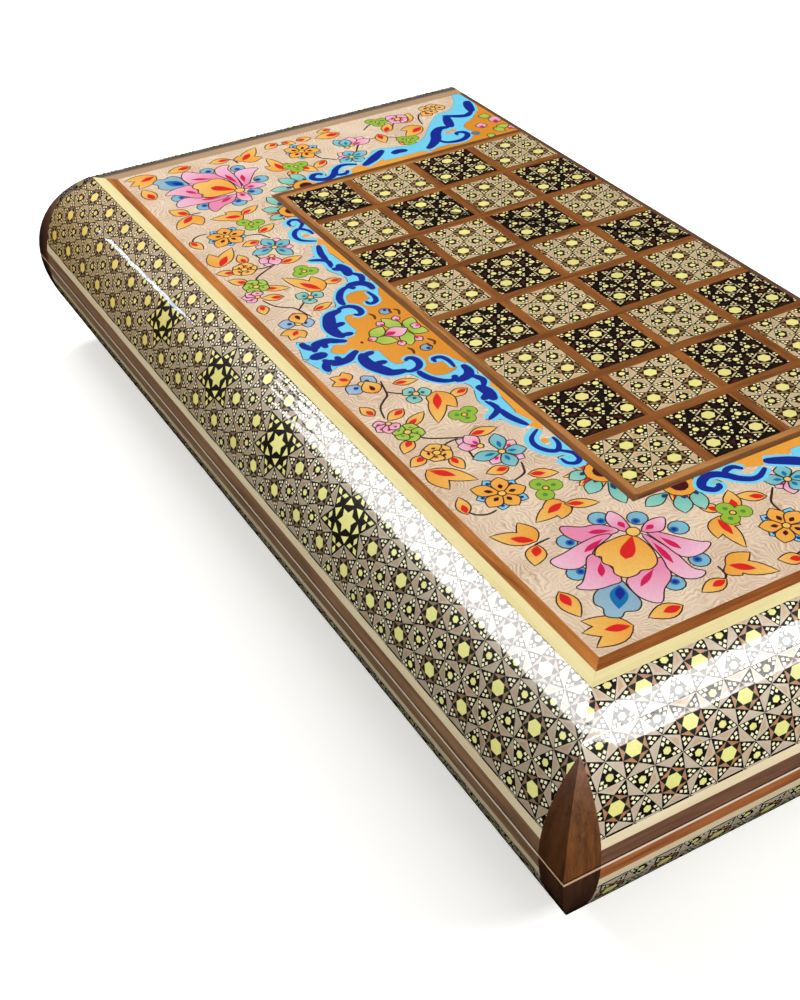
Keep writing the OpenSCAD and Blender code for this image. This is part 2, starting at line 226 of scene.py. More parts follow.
def lacquer_waves(tree, place):
    """The faint unevenness of brushed lacquer. It isn't a group, because only the coat's normal uses it."""
    broad = noise(tree, place, 0.08, 1.0)
    fine = noise(tree, place, 0.5, 2.0)
    height = calc(tree, "MULTIPLY_ADD", fine, 0.10, broad)
    inputs = {"Strength": 0.35, "Distance": 0.0003, "Height": height}
    return add(tree, "ShaderNodeBump", None, inputs).outputs[0]


def surface(tree, place, colour, rough, height, depth, coat=1.0, coat_rough=GLOSS, metal=0.0, shine=0.5):
    """The shader every material of the board ends in, lacquered unless coat is 0.

    depth is the height of its bumps in metres, and shine is the specular level under the lacquer.
    """
    inputs = {"Base Color": colour, "Roughness": rough, "Metallic": metal, "Specular IOR Level": shine,
              "Coat Weight": coat, "Coat Roughness": coat_rough, "Coat IOR": 1.5}
    shader = add(tree, "ShaderNodeBsdfPrincipled", None, inputs)
    bump = add(tree, "ShaderNodeBump", None, {"Strength": 0.6, "Distance": depth, "Height": height})
    tree.links.new(bump.outputs[0], shader.inputs["Normal"])
    if coat:
        tree.links.new(lacquer_waves(tree, place), shader.inputs["Coat Normal"])
    output = tree.nodes.new("ShaderNodeOutputMaterial")
    tree.links.new(shader.outputs[0], output.inputs[0])


def grain_vector(tree, place, run):
    """The place turned so that the wood's grain runs along its X.

    run is x or z, bands for strips that turn at the mitres, or lattice for the strips between the squares.
    """
    if run == "x":
        return place
    x, y, z = axes(tree, place)
    if run == "z":
        return joined(tree, z, x, y)
    turned = joined(tree, y, x, z)
    if run == "bands":
        along_y = placed(tree, MITRES, Vector=place)["End Band"]
    else:
        along_y = calc(tree, "LESS_THAN", calc(tree, "PINGPONG", x, PITCH / 2), STRIP_W / 2)
    mixed = add(tree, "ShaderNodeMix", {"data_type": "VECTOR"}, {0: along_y})
    tree.links.new(place, mixed.inputs[4])
    tree.links.new(turned, mixed.inputs[5])
    return mixed.outputs[1]


def tinged(tree, mask, colour, tint):
    """The colour, multiplied by the tint where the mask is 1."""
    return blend(tree, mask, colour, blend(tree, 1.0, colour, tint, "MULTIPLY"))


# How wood is coloured: the share of fibre against figure, half the range of tones and the shade of pores
FIBRE_SHARE, HALF_TONES, PORE_SHADE = 0.45, 0.22, 0.35


def wood(name, light, dark, run="x", pore=0.5, spread=1.0, end_light_and_tone=None, left=(), painted_parting_line=None, coat_rough=GLOSS,
         painted_shade=False):
    """Lacquered wood between two display colours.

    end_light_and_tone multiplies the colour along the two ends: painted light and shade, as the ends are lit
    unlike the front, and on the border partly the strips' own tone. left gives the band along the left end
    other colours, from the outside inwards, as (distance in from its edge, colour). painted_parting_line is a
    painted line of another colour at the parting, as (low, high, colour) in millimetres over it: a painted
    highlight on the base's rim, a painted shadow under the lid. painted_shade darkens the far corner with
    painted shade.
    """
    light, dark = linear(*light), linear(*dark)
    made, tree, place = new_material(name)
    figure, fibre, pores = placed(tree, GRAIN, Vector=grain_vector(tree, place, run))
    tone = calc(tree, "MULTIPLY_ADD", fibre, FIBRE_SHARE, calc(tree, "MULTIPLY", figure, 1 - FIBRE_SHARE))
    tone = ranged(tree, tone, 0.5 - HALF_TONES * spread, 0.5 + HALF_TONES * spread)
    colour = ramp(tree, tone, ((0.0, dark), (1.0, light)))
    colour = blend(tree, calc(tree, "MULTIPLY", pores, pore), colour, tuple(PORE_SHADE * c for c in dark))
    mitres = placed(tree, MITRES, Vector=place) if end_light_and_tone or left or painted_shade else None
    # Painted light and shade along the ends, which are lit unlike the front; on the border partly the strips'
    # own tone
    if end_light_and_tone:
        colour = tinged(tree, mitres["End Band"], colour, end_light_and_tone)
    for start, shade in left:
        past = calc(tree, "GREATER_THAN", mitres["From Left"], start)
        past = calc(tree, "MULTIPLY", mitres["Left Band"], past)
        near = calc(tree, "MULTIPLY", past, calc(tree, "LESS_THAN", mitres["From Left"], HALF_L))
        lightness = calc(tree, "MULTIPLY_ADD", fibre, 1.2, 0.4)
        colour = blend(tree, near, colour, tinged(tree, 0.5, linear(*shade), lightness))
    # Painted shade: the far corner darkened
    if painted_shade:
        colour = tinged(tree, mitres["Corner Shade"], colour, CORNER_SHADE)
    # A painted line along the parting: a painted highlight on the base's rim and a painted shadow under the
    # lid
    if painted_parting_line:
        low, high, shade = painted_parting_line
        line = placed(tree, PARTING, Vector=place, Low=low, High=high)[0]
        colour = blend(tree, line, colour, linear(*shade))
    surface(tree, place, colour, 0.42, calc(tree, "SUBTRACT", fibre, pores), 0.00005, coat_rough=coat_rough)
    return made


def tinted(name, rough, mottle, scale, stretch=(1, 1, 1), depth=0.00003, painted_shade=True, shine=0.5):
    """A lacquered piece coloured by its mesh's tint and finely mottled. painted_shade paints shade on the far
    corner.
    """
    made, tree, place = new_material(name)
    tint = add(tree, "ShaderNodeAttribute", {"attribute_name": "tint"}).outputs["Color"]
    shade, fine = placed(tree, MOTTLE, Vector=scaled(tree, place, *stretch), Scale=scale, Amount=mottle)
    shaded = add(tree, "ShaderNodeVectorMath", {"operation": "SCALE"}, {0: tint, "Scale": shade}).outputs[0]
    # Painted shade down the far corner's mitre
    if painted_shade:
        shaded = tinged(tree, placed(tree, MITRES, Vector=place)["Edge Shade"], shaded, EDGE_SHADE)
    surface(tree, place, shaded, rough, fine, depth, shine=shine)
    return made


# Star inlay: one repeat of the pattern on a lattice of unit spacing. A star has a ring of six notches, a
# heart with six corners and six tips that touch its neighbours' tips.
NOTCH_R, HEART_R, TIP_R = 0.26, 0.15, 0.5
# Share of an arm that its patch takes, and of a dark star's point that its black core takes
PATCH_SHARE, CORE_SHARE = 0.52, 0.55
# Dots of an arm and of a triangle between stars: (distance along, distance off), half their length and width
ARM_DOTS, ARM_DOT = ((0.362, 0.0), (0.288, 0.045), (0.288, -0.045)), (0.042, 0.034)
GUSSET_DOTS, GUSSET_DOT = ((0.208, 0.0), (0.136, 0.044), (0.136, -0.044)), (0.041, 0.033)
# Petals of a triangle beside a rosette: where they lie, half their length and width. The others' heart.
GUSSET_PETAL_R, GUSSET_PETAL, GUSSET_HEART_R = 0.112, (0.095, 0.055), 0.072
# Dark rosette: radii of its petals' tips and sides, the sides' turn, and the radii of its yellow star
PETAL_TIP_R, PETAL_SIDE_R, PETAL_TURN, STAR_OUT_R, STAR_IN_R = 0.47, 0.345, 21, 0.275, 0.16


def polar(r, degrees, origin=(0.0, 0.0)):
    a = math.radians(degrees)
    return (origin[0] + r * math.cos(a), origin[1] + r * math.sin(a))


def rhomb(centre, degrees, long, wide):
    return [polar(long, degrees, centre), polar(wide, degrees + 90, centre), polar(-long, degrees, centre),
            polar(-wide, degrees + 90, centre)]


def dots(places, size, way, centre=(0.0, 0.0)):
    """Rhombs along a line that leaves the centre at the angle way."""
    return [(rhomb(polar(r, way, polar(side, way + 90, centre)), way, *size), "dot") for r, side in places]


def shrunk(outline, spot, share):
    return [tuple(spot[k] + share * (p[k] - spot[k]) for k in (0, 1)) for p in outline]


def rosette_shapes(tips):
    shapes = [(tips, "black")]
    for way in range(0, 360, 60):
        sides = [polar(PETAL_SIDE_R, way + turn) for turn in (PETAL_TURN, -PETAL_TURN)]
        shapes.append(([polar(PETAL_TIP_R, way), *sides], "yellow"))
    corners = ((STAR_OUT_R, 30), (STAR_IN_R, 60))
    star = [polar(r, way + turn) for way in range(0, 360, 60) for r, turn in corners]
    return shapes + [(star, "yellow")]


def star_shapes(kind):
    notches = [polar(NOTCH_R, 30 + 60 * i) for i in range(6)]
    tips = [polar(TIP_R, 60 * i) for i in range(6)]
    hexagon = [polar(HEART_R, 60 * i) for i in range(6)]
    if kind == "rosette":
        return rosette_shapes(tips)
    shapes = []
    for i in range(6):
        arm = [notches[i], tips[i], tips[(i + 1) % 6]]
        middle = [sum(p[k] for p in arm) / 3 for k in (0, 1)]
        shapes.append((arm, "arm"))
        shapes.append((shrunk(arm, middle, PATCH_SHARE), "patch"))
        shapes.append(([notches[i - 1], notches[i], tips[i]], "black"))
        shapes += dots(ARM_DOTS, ARM_DOT, 60 * i)
        point = [hexagon[i], notches[i - 1], notches[i]]
        shapes.append((point, "point"))
        if kind == "dark":
            shapes.append((shrunk(point, hexagon[i], CORE_SHARE), "black"))
        shapes.append(([hexagon[i], notches[i], hexagon[(i + 1) % 6]], "green"))
    return shapes + [(hexagon, "yellow")]


def gusset_shapes(kind, up):
    """The triangle between three stars. A bare one has no dots, and one beside a rosette has three petals."""
    turn = 1 if up else -1
    centre = (0.5, turn * math.sqrt(3) / 6)
    ways = [-90 * turn + 120 * i for i in range(3)]
    shapes = [([polar(math.sqrt(3) / 6, way, centre) for way in ways], "black")]
    if kind == "rosette":
        petals = [rhomb(polar(GUSSET_PETAL_R, way, centre), way, *GUSSET_PETAL) for way in ways]
        return shapes + [(petal, "yellow") for petal in petals]
    if kind != "bare":
        for way in ways:
            shapes += dots(GUSSET_DOTS, GUSSET_DOT, way, centre)
    return shapes + [([polar(GUSSET_HEART_R, ways[0] + 60 * i, centre) for i in range(6)], "yellow")]


def cut_up(shapes, ground=False):
    """Shapes in painting order, cut into triangles that each belong to the topmost shape over them.

    With ground, the first shape is a ground that the others are trimmed to.
    """
    points, faces = [], []
    for outline, *_ in shapes:
        turned = sum(a[0] * b[1] - a[1] * b[0] for a, b in zip(outline, outline[1:] + outline[:1]))
        faces.append(list(range(len(points), len(points) + len(outline))))
        points += [Vector(p) for p in (outline if turned > 0 else outline[::-1])]
    verts, _, tris, _, _, owners = delaunay_2d_cdt(points, [], faces, 1, 1e-6, True)
    kept = [(t, max(o)) for t, o in zip(tris, owners) if o and (0 in o or not ground)]
    return np.array([tuple(v) for v in verts]), np.array([t for t, o in kept]), np.array([o for t, o in kept])


CLASSES = ["black", "yellow", "dot", "green", "arm", "patch", "point"]
CELLS = {}
for cell in ("plain", "dark", "rosette", "bare"):
    for part in ("up", "down") if cell == "bare" else ("star", "up", "down"):
        pieces = star_shapes(cell) if part == "star" else gusset_shapes(cell, part == "up")
        CELLS[cell, part] = (*cut_up(pieces), np.array([CLASSES.index(c) for _, c in pieces]))

PALETTES = {
    "plain": {"black": (20, 14, 9), "yellow": (250, 246, 152), "dot": (252, 248, 206), "green": (20, 30, 28),
              "arm": (182, 166, 142), "patch": (176, 138, 98), "point": (140, 106, 76)},
    "end": {"black": (20, 14, 9), "yellow": (238, 236, 142), "dot": (250, 246, 204), "green": (20, 30, 30),
            "arm": (204, 188, 166), "patch": (204, 156, 106), "point": (176, 126, 86)},
    "light": {"black": (24, 16, 10), "yellow": (234, 226, 136), "dot": (242, 234, 180), "green": (26, 32, 26),
              "arm": (204, 180, 140), "patch": (182, 146, 104), "point": (150, 110, 70)},
    "dark": {"black": (18, 11, 7), "yellow": (234, 224, 136), "dot": (234, 222, 166), "green": (20, 12, 8),
             "arm": (18, 11, 7), "patch": (88, 26, 20), "point": (206, 186, 140)},
}
# Painted warm light at the far end of the front: what the yellow pieces there are multiplied by, the share of
# it that other pieces take, and over which u it fades
FAR_WARM_LIGHT, FAR_WARM_REST, FAR_WARM_FADE = np.array([0.90, 0.66, 0.31]), 0.8, (-250, 60)
# Tint of walls and backs, which their own material doesn't show
BACK_TINT = (0.2, 0.1, 0.05)
# How uneven the pieces are in lightness and in hue
UNEVEN_LIGHT, UNEVEN_HUE = 0.16, 0.05


class Inlay:
    """A flat sheet of pieces: points, faces, and each face's material and tint."""

    def __init__(self):
        self.points, self.faces, self.kinds, self.tints = [], [], [], []

    def take(self, points, faces, kinds, tints):
        first = len(self.points)
        self.points += [tuple(p) for p in points]
        self.faces += [[first + i for i in f] for f in faces]
        self.kinds += list(kinds)
        self.tints += list(tints)


def star_pieces(cells, palette, seed):
    """Star cells on the lattice: points, triangles, and each triangle's class and tint."""
    random = np.random.default_rng(seed)
    hues = np.array([linear(*PALETTES[palette][c]) for c in CLASSES])
    arm, patch = CLASSES.index("arm"), CLASSES.index("patch")
    all_points, all_tris, all_kinds, all_tints = [], [], [], []
    count = 0
    for column, row, *kinds in cells:
        origin = np.array([column + (row % 2) / 2, row * math.sqrt(3) / 2])
        for part, kind in zip(("star", "up", "down"), kinds):
            points, tris, owners, classes = CELLS[kind, part]
            light = random.random((len(classes), 1)) - 0.5
            hue = random.random((len(classes), 3)) - 0.5
            tint = hues[classes] * (1 + UNEVEN_LIGHT * light + UNEVEN_HUE * hue)
            patches = np.flatnonzero(classes == patch)
            strength = random.random((len(patches), 1)) ** 1.5
            tint[patches] = hues[arm] * (1 - strength) + tint[patches] * strength
            all_points.append(points + origin)
            all_tris.append(tris + count)
            all_kinds.append(classes[owners])
            all_tints.append(tint[owners])
            count += len(points)
    return [np.concatenate(a) for a in (all_points, all_tris, all_kinds, all_tints)]


def star_field(cells, place, palette, seed, sides, creases=(), warm_light=None):
    """A sheet of star cells, trimmed to its outline.

    cells is [(column, row, star kind, up kind, down kind)], and place puts lattice points into the sheet.
    sides are half planes (point, outward direction) in millimetres, and creases are lines that faces are
    split along. warm_light is the range of u over which the painted warm light on the far end's stars fades.
    """
    points, tris, kinds, tints = star_pieces(cells, palette, seed)
    points = place(points)
    inside = np.ones(len(tris), bool)
    for spot, outward in sides:
        inside &= ((points - spot) @ np.array(outward))[tris].min(1) < -1e-4
    tris, kinds, tints = tris[inside], kinds[inside], tints[inside]
    # Painted warm light: the stars toward the far end of the front are tinted golden
    if warm_light:
        share = np.clip((points[tris].mean(1)[:, 0] - warm_light[0]) / (warm_light[1] - warm_light[0]), 0, 1)[:, None]
        warm = FAR_WARM_LIGHT + (1 - FAR_WARM_LIGHT) * share
        yellow = (kinds == CLASSES.index("yellow"))[:, None]
        tints = tints * np.where(yellow, warm, 1 + FAR_WARM_REST * (warm - 1))
    mesh = bpy.data.meshes.new("trim")
    mesh.from_pydata([(x, y, 0) for x, y in points], [], tris.tolist())
    numbers = mesh.attributes.new("piece", "INT", "FACE")
    numbers.data.foreach_set("value", np.arange(len(tris), dtype=np.int32))
    bm = bmesh.new()
    bm.from_mesh(mesh)
    bmesh.ops.remove_doubles(bm, verts=bm.verts, dist=1e-3)
    for (x, y), (nx, ny), clear in [(*s, True) for s in sides] + [(*c, False) for c in creases]:
        bmesh.ops.bisect_plane(bm, geom=bm.verts[:] + bm.edges[:] + bm.faces[:], dist=1e-4,
                               plane_co=(x, y, 0), plane_no=(nx, ny, 0), clear_outer=clear)
    bmesh.ops.delete(bm, geom=[v for v in bm.verts if not v.link_faces], context="VERTS")
    bm.verts.index_update()
    layer = bm.faces.layers.int["piece"]
    piece = [f[layer] for f in bm.faces]
    made = Inlay()
    made.take([v.co[:2] for v in bm.verts], [[v.index for v in f.verts] for f in bm.faces],
              kinds[piece], tints[piece])
    bm.free()
    bpy.data.meshes.remove(mesh)
    return made


def outline_of(faces):
    """The closed loops of edges that only one face uses, each in the faces' direction."""
    edges = {}
    for face in faces:
        for a, b in zip(face, face[1:] + face[:1]):
            edges[a, b] = True
    following = {a: b for a, b in edges if (b, a) not in edges}
    loops = []
    while following:
        loop = [next(iter(following))]
        while loop[-1] in following:
            loop.append(following.pop(loop[-1]))
        loops.append(loop[:-1])
    return loops


def lay_out(sheets, margin=1.0, spare=1.1):
    """Flat maps of all sheets in one square, a spot for each face corner.

    Long sheets are cut into strips of one width, and the strips are stacked in columns. A column is as high
    as the side of a square with the strips' whole area, times spare.
    """
    strips, laid = [], []
    for inlay, _, _, wide in sheets:
        points = np.array(inlay.points, float)
        low, high = points.min(0), points.max(0)
        wide = min(wide, high[0] - low[0] + margin)
        first = len(strips)
        strips += [(wide + 2 * margin, high[1] - low[1] + margin)] * (int((high[0] - low[0]) // wide) + 1)
        for face in inlay.faces:
            corner = points[face] - low
            row = int(corner[:, 0].mean() // wide)
            laid.append((first + row, corner - [row * wide - margin, 0]))
    side = spare * math.sqrt(sum(w * h for w, h in strips))
    corners, x, y, column = [], margin, margin, 0.0
    for w, h in strips:
        if y + h > max(side, h + margin):
            x, y, column = x + column, margin, 0.0
        corners.append((x, y))
        y, column = y + h, max(column, w)
    span = max(max(c[k] + s[k] for c, s in zip(corners, strips)) for k in (0, 1)) + margin
    return [(spots + corners[strip]) / span for strip, spots in laid]


# Points inside a sheet's back, along and across: where they start and stop in from its box, and their step
BACK_GRID = ((6, 3, 12), (3, 2, 5))


def back_of(edge, first, base):
    """The back of a sheet inside its edge: flat points, with more of them inside so that it bends, and faces.

    The edge's own points are numbered from first and all the back's points from base.
    """
    low, high = edge.min(0), edge.max(0)
    xs, ys = (np.arange(low[k] + start, high[k] - stop, step)
              for k, (start, stop, step) in enumerate(BACK_GRID))
    inner = [Vector((x, y)) for x in xs for y in ys]
    ring = [Vector(p) for p in edge]
    loop = list(range(len(edge)))
    spots, _, tris, sources, _, owners = delaunay_2d_cdt(ring + inner, [], [loop], 1, 1e-5, True)
    own = {k: first + s[0] for k, s in enumerate(sources) if s and s[0] < len(edge)}
    faces = [[own.get(k, base + k) for k in reversed(t)] for t, owner in zip(tris, owners) if owner]
    return np.array([tuple(v) for v in spots]), faces


def make_piece(name, sheets, body, materials, nodes, upside):
    """One object from sheets [(inlay, curve, depth, row width)].

    A curve gives points and normals for flat points and a depth under the surface. Each sheet gets walls and
    a back of the last material. upside turns a piece of the lid over, for the base.
    """
    verts, faces, kinds, tints, normals, layout = [], [], [], [], [], []
    maps = iter(lay_out(sheets))
    for inlay, curve, depth, _ in sheets:
        flat = np.array(inlay.points, float)
        front, outward = curve(flat, 0.0)
        first = len(verts)
        verts += front.tolist()
        for face, kind, tint in zip(inlay.faces, inlay.kinds, inlay.tints):
            faces.append([first + i for i in face])
            kinds.append(kind)
            tints.append([tint] * len(face) if np.ndim(tint) == 1 else list(tint))
            normals.append(outward[face])
            layout.append(next(maps))
        for loop in outline_of(inlay.faces):
            edge = flat[loop]
            back, _ = curve(edge, depth)
            start = len(verts)
            verts += back.tolist()
            n = len(loop)
            for i in range(n):
                j = (i + 1) % n
                faces.append([first + loop[j], first + loop[i], start + i, start + j])
            spots, back_faces = back_of(edge, start, len(verts))
            verts += curve(spots, depth)[0].tolist()
            faces += back_faces
            plain = len(faces) - len(kinds)
            kinds += [len(materials) - 1] * plain
            tints += [[BACK_TINT] * len(f) for f in faces[-plain:]]
            normals += [np.zeros((len(f), 3)) for f in faces[-plain:]]
            layout += [np.full((len(f), 2), 0.001) for f in faces[-plain:]]
    metres = np.array(verts) * 0.001
    if upside:
        metres[:, 2] = 2 * TRAY_H * 0.001 - metres[:, 2]
    step = -1 if upside else 1
    mesh = bpy.data.meshes.new(name)
    mesh.from_pydata(metres.tolist(), [], [f[::step] for f in faces])
    for material in materials:
        mesh.materials.append(material)
    mesh.polygons.foreach_set("material_index", np.array(kinds, dtype=np.int32))
    colours = mesh.color_attributes.new("tint", "FLOAT_COLOR", "CORNER")
    corners = np.clip(np.concatenate([np.array(t)[::step] for t in tints]), 0, 1)
    colours.data.foreach_set("color", np.c_[corners, np.ones(len(corners))].astype(np.float32).ravel())
    uv = mesh.uv_layers.new(name="OFBake")
    uv.data.foreach_set("uv", np.concatenate([c[::step] for c in layout]).astype(np.float32).ravel())
    split = np.concatenate([c[::step] for c in normals])
    if upside:
        split = split * [1, 1, -1]
    mesh.normals_split_custom_set(split.tolist())
    mesh.validate(verbose=False)
    made = bpy.data.objects.new(name, mesh)
    bpy.context.scene.collection.objects.link(made)
    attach(made, body)
    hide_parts(*nodes)


# Surfaces of the lid, from flat (u, v): v runs from the parting plane over the rounded side and on to the
# face. Past the arris, a side sheet's back lies this share of its depth farther in.
BACK_LEAN = 0.3


def side_profile(v, depth):
    """Distance in from the outside, height over the parting plane, and the normal's angle."""
    turn = np.minimum(v, TOP_V) / SIDE_R
    over = np.maximum(v - TOP_V, 0)
    inward = SIDE_R - (SIDE_R - depth) * np.cos(turn) + over
    height = (SIDE_R - depth) * np.sin(turn)
    height = np.where(v > TOP_V - 1e-6, TRAY_H - depth, height)
    inward = np.where(v > TOP_V - 1e-6, ARC_INSET + over + BACK_LEAN * depth, inward)
    lean = ARRIS_LEAN * np.clip((v - TOP_V + ARRIS) / (ARRIS + SKIN_EDGE), 0, 1)
    return inward, height, turn + lean * (math.pi / 2 - turn)


def front_curve(flat, depth):
    inward, height, angle = side_profile(flat[:, 1], depth)
    points = np.c_[flat[:, 0], Y_FRONT + inward, TRAY_H + height]
    return points, np.c_[np.zeros(len(flat)), -np.cos(angle), np.sin(angle)]


def end_curve(side):
    def curve(flat, depth):
        inward, height, angle = side_profile(flat[:, 1], depth)
        along = flat[:, 0] if side > 0 else -flat[:, 0]
        points = np.c_[side * (HALF_L - inward), along, TRAY_H + height]
        return points, np.c_[side * np.cos(angle), np.zeros(len(flat)), np.sin(angle)]

    return curve


def face_curve(flat, depth):
    points = np.c_[flat, np.full(len(flat), 2 * TRAY_H - depth)]
    return points, np.tile([0.0, 0.0, 1.0], (len(flat), 1))


def rim_curve(flat, depth):
    """The rim faces down, so its flat sheets are drawn with u = -x."""
    points = np.c_[-flat[:, 0], flat[:, 1], np.full(len(flat), TRAY_H + RIM_Z + depth)]
    return points, np.tile([0.0, 0.0, -1.0], (len(flat), 1))


def mitred_edge():
    """The corner edge of a side sheet as half planes in (distance to the corner plane, v)."""
    heights = [POST_V + (TOP_V - POST_V) * i / 8 for i in range(9)] + [TOP_V + SKIN_EDGE]
    spots = [(side_profile(np.array([v]), 0.0)[0][0], v) for v in heights]
    lines = [((POST_W, 0.0), (-1.0, 0.0))]
    for (a, va), (b, vb) in zip(spots, spots[1:]):
        length = math.hypot(b - a, vb - va)
        lines.append(((a, va), (-(vb - va) / length, (b - a) / length)))
    return lines


SHEET_EDGES = [((0, LOW_V), (0, -1)), ((0, TOP_V + SKIN_EDGE), (0, 1))]
ARRIS_CREASES = [((0, TOP_V - step * ARRIS), (0, 1)) for step in (0, 1)]

# Inlay materials, in the order of CLASSES, and the plain wood of walls and backs
bone = tinted("inlay_bone", 0.38, 0.07, 1.2)
ebony = tinted("inlay_ebony", 0.4, 0.35, 1.6, (0.3, 2.2, 1), shine=0.1)
veneer = tinted("inlay_veneer", 0.42, 0.14, 1.5, (0.35, 2.4, 1))
back_wood = wood("inlay_back", (120, 80, 46), (80, 48, 24))
INLAY = [ebony, bone, bone, ebony, veneer, veneer, veneer, back_wood]

# Star rows on the sides: v of the first and the step between rows. Along the front: the step in the middle
# and in the outer parts, which begin so many stars from the middle. Along the ends: the step and one star's
# distance from y = 0.
FIRST_ROW, ROW_STEP = 3.9, 15.95
CENTRE_STEP, OUTER_STEP, CENTRE_COLUMNS = 19.87, 21.3, 5.5
END_STEP, END_OFFSET = 22.2, 37.2


def steps(cells):
    """Lattice points as steps along their row and as rows."""
    return cells[:, 0] - 0.5, cells[:, 1] * 2 / math.sqrt(3)


def front_place(cells):
    s, t = steps(cells)
    inner = np.clip(s, -CENTRE_COLUMNS, CENTRE_COLUMNS)
    return np.c_[inner * CENTRE_STEP + (s - inner) * OUTER_STEP, FIRST_ROW + ROW_STEP * t]


# The dark rosettes of the second row, in steps from the middle
ROSETTES = (-4.5, -1.5, 1.5, 4.5)


def front_cells():
    """Row 1 has stars at whole steps from the middle, row 2 half way between, some of them rosettes."""
    def dark(x, row):
        return row == 2 and any(abs(x - r) < 0.1 for r in ROSETTES)

    made = []
    for row in range(-1, 5):
        for column in range(-13, 14):
            x = column + (row % 2) / 2 - 0.5
            beside = dark(x, row) or dark(x + 1, row)
            darks = dark(x, row), beside or dark(x + 0.5, row + 1), beside or dark(x + 0.5, row - 1)
            star, up, down = ("rosette" if d else "plain" for d in darks)
            made.append((column, row, star, "bare" if row == 0 else up, down))
    return made


def end_sheet(side, seed):
    """The inlay of the right end, where side is 1, or of the left one, where it is -1."""
    def place(cells):
        s, t = steps(cells)
        return np.c_[-side * END_OFFSET + END_STEP * s, FIRST_ROW + ROW_STEP * t]

    cells = [(column, row, "plain", "bare" if row == 0 else "plain", "plain")
             for row in range(-1, 5) for column in range(-8, 9)]
    sides = SHEET_EDGES + [((side * Y_BACK, 0), (side, 0))]
    sides += [((side * (Y_FRONT + d), v), (side * nd, nv)) for (d, v), (nd, nv) in mitred_edge()]
    return star_field(cells, place, "end", seed, sides, ARRIS_CREASES)


def front_sheet():
    sides = SHEET_EDGES + [((side * (HALF_L - d), v), (-side * nd, nv))
                           for (d, v), (nd, nv) in mitred_edge() for side in (1, -1)]
    return star_field(front_cells(), front_place, "plain", 11, sides, ARRIS_CREASES, FAR_WARM_FADE)


SIDE_SHEETS = {
    "front": (front_sheet(), front_curve, SKIN_T, 160),
    "right": (end_sheet(1, 12), end_curve(1), SKIN_T, 120),
    "left": (end_sheet(-1, 13), end_curve(-1), SKIN_T, 120),
}

# Squares: the step between stars, the step between rows and how far the first row lies from the right side
TILE_STEP, TILE_ROW, TILE_FIRST = 20.8, 16.0, 8.2


def tile(column, row, palette, kind, offset, seed):
    """One square's star inlay, its rows running along Y."""
    low = np.array([-4 * PITCH + column * PITCH + STRIP_W / 2, SQUARES_FRONT + row * PITCH + STRIP_W / 2])
    high = low + (PITCH - STRIP_W)

    def place(cells):
        s, t = steps(cells)
        return np.c_[high[0] - (TILE_FIRST + TILE_ROW * (t - 1)), low[1] + offset + TILE_STEP * s]

    cells = [(c, r, kind, kind, kind) for r in range(-1, 4) for c in range(-1, 4)]
    sides = [((low[0], 0), (-1, 0)), ((high[0], 0), (1, 0)), ((0, low[1]), (0, -1)), ((0, high[1]), (0, 1))]
    return star_field(cells, place, palette, seed, sides)


# One row of small stars in each band of the rims: their step, and how much they are squeezed across the band
RIM_STEP, RIM_SQUEEZE = 9.0, 0.86


def rim_sheets():
    across = 2 / math.sqrt(3) * RIM_SQUEEZE * RIM_STEP
    low, high = Y_FRONT + RIM_BAND_IN, Y_FRONT + RIM_BAND_IN + RIM_BAND_W
    corner = HALF_L - RIM_BAND_IN

    def cells(count):
        return [(c, r, "plain", "plain", "plain") for r in (-1, 0, 1) for c in range(-count, count + 1)]

    def along_front(p):
        return np.c_[RIM_STEP * p[:, 0], (low + high) / 2 + across * p[:, 1]]

    sides = [((0, low), (0, -1)), ((0, high), (0, 1))]
    sides += [((side * (corner - GLUE / 2), low), (side, 1)) for side in (-1, 1)]
    made = [star_field(cells(28), along_front, "light", 31, sides)]
    for side in (-1, 1):
        def along_end(p):
            return np.c_[side * (corner - RIM_BAND_W / 2) - across * p[:, 1], RIM_STEP * p[:, 0]]

        sides = [((side * (corner - RIM_BAND_W), 0), (-side, 0)), ((side * corner, 0), (side, 0)),
                 ((0, Y_BACK), (0, 1)), ((side * corner, low + GLUE / 2), (-side, -1))]
        made.append(star_field(cells(14), along_end, "light", 33 + side, sides))
    return made


# How far a square's star rows are shifted along it, where the photograph shows it. Elsewhere it is chance.
TILE_SHIFT = {(7, 0): 3.0, (6, 0): 8.5, (6, 1): 5.5, (7, 1): 5.5}
shifts = np.random.default_rng(5)
tiles = {}
for column in range(8):
    for row in range(4):
        shift = TILE_SHIFT.get((column, row), float(shifts.uniform(3.5, 7.5)))
        for tone, kind in (("light", "plain"), ("dark", "dark")):
            tiles[column, row, tone] = tile(column, row, tone, kind, shift, 100 + 8 * row + column)

# Painted border, drawn for the half right of the middle. Its places are in millimetres from the corner of the
# squares, so the middle, CENTRE, is at x = 148, and the squares' frame reaches to y = -3.3 and x = 299.3.
INK = (54, 36, 32)
ORANGE, AMBER, SCARLET = (232, 158, 54), (240, 190, 98), (216, 24, 24)
DEEP_ORANGE = (218, 140, 36)
PINK, ROSE, MAGENTA = (228, 136, 170), (238, 188, 208), (204, 14, 84)
SKY, PALE_BLUE, OCEAN, NAVY = (112, 208, 238), (132, 168, 190), (0, 108, 166), (12, 36, 140)
DEEP_OCEAN, HAZE, TEAL, PALE_TEAL = (14, 60, 110), (132, 190, 206), (92, 178, 166), (150, 206, 190)
LEAF, MOSS, MAROON = (146, 182, 52), (70, 142, 60), (72, 14, 22)
CENTRE = 4 * PITCH
# Straight parts between two points of a curve, along one side of a petal and round a disc
CURVE_PARTS, PETAL_PARTS, DISC_PARTS = 4, 7, 12


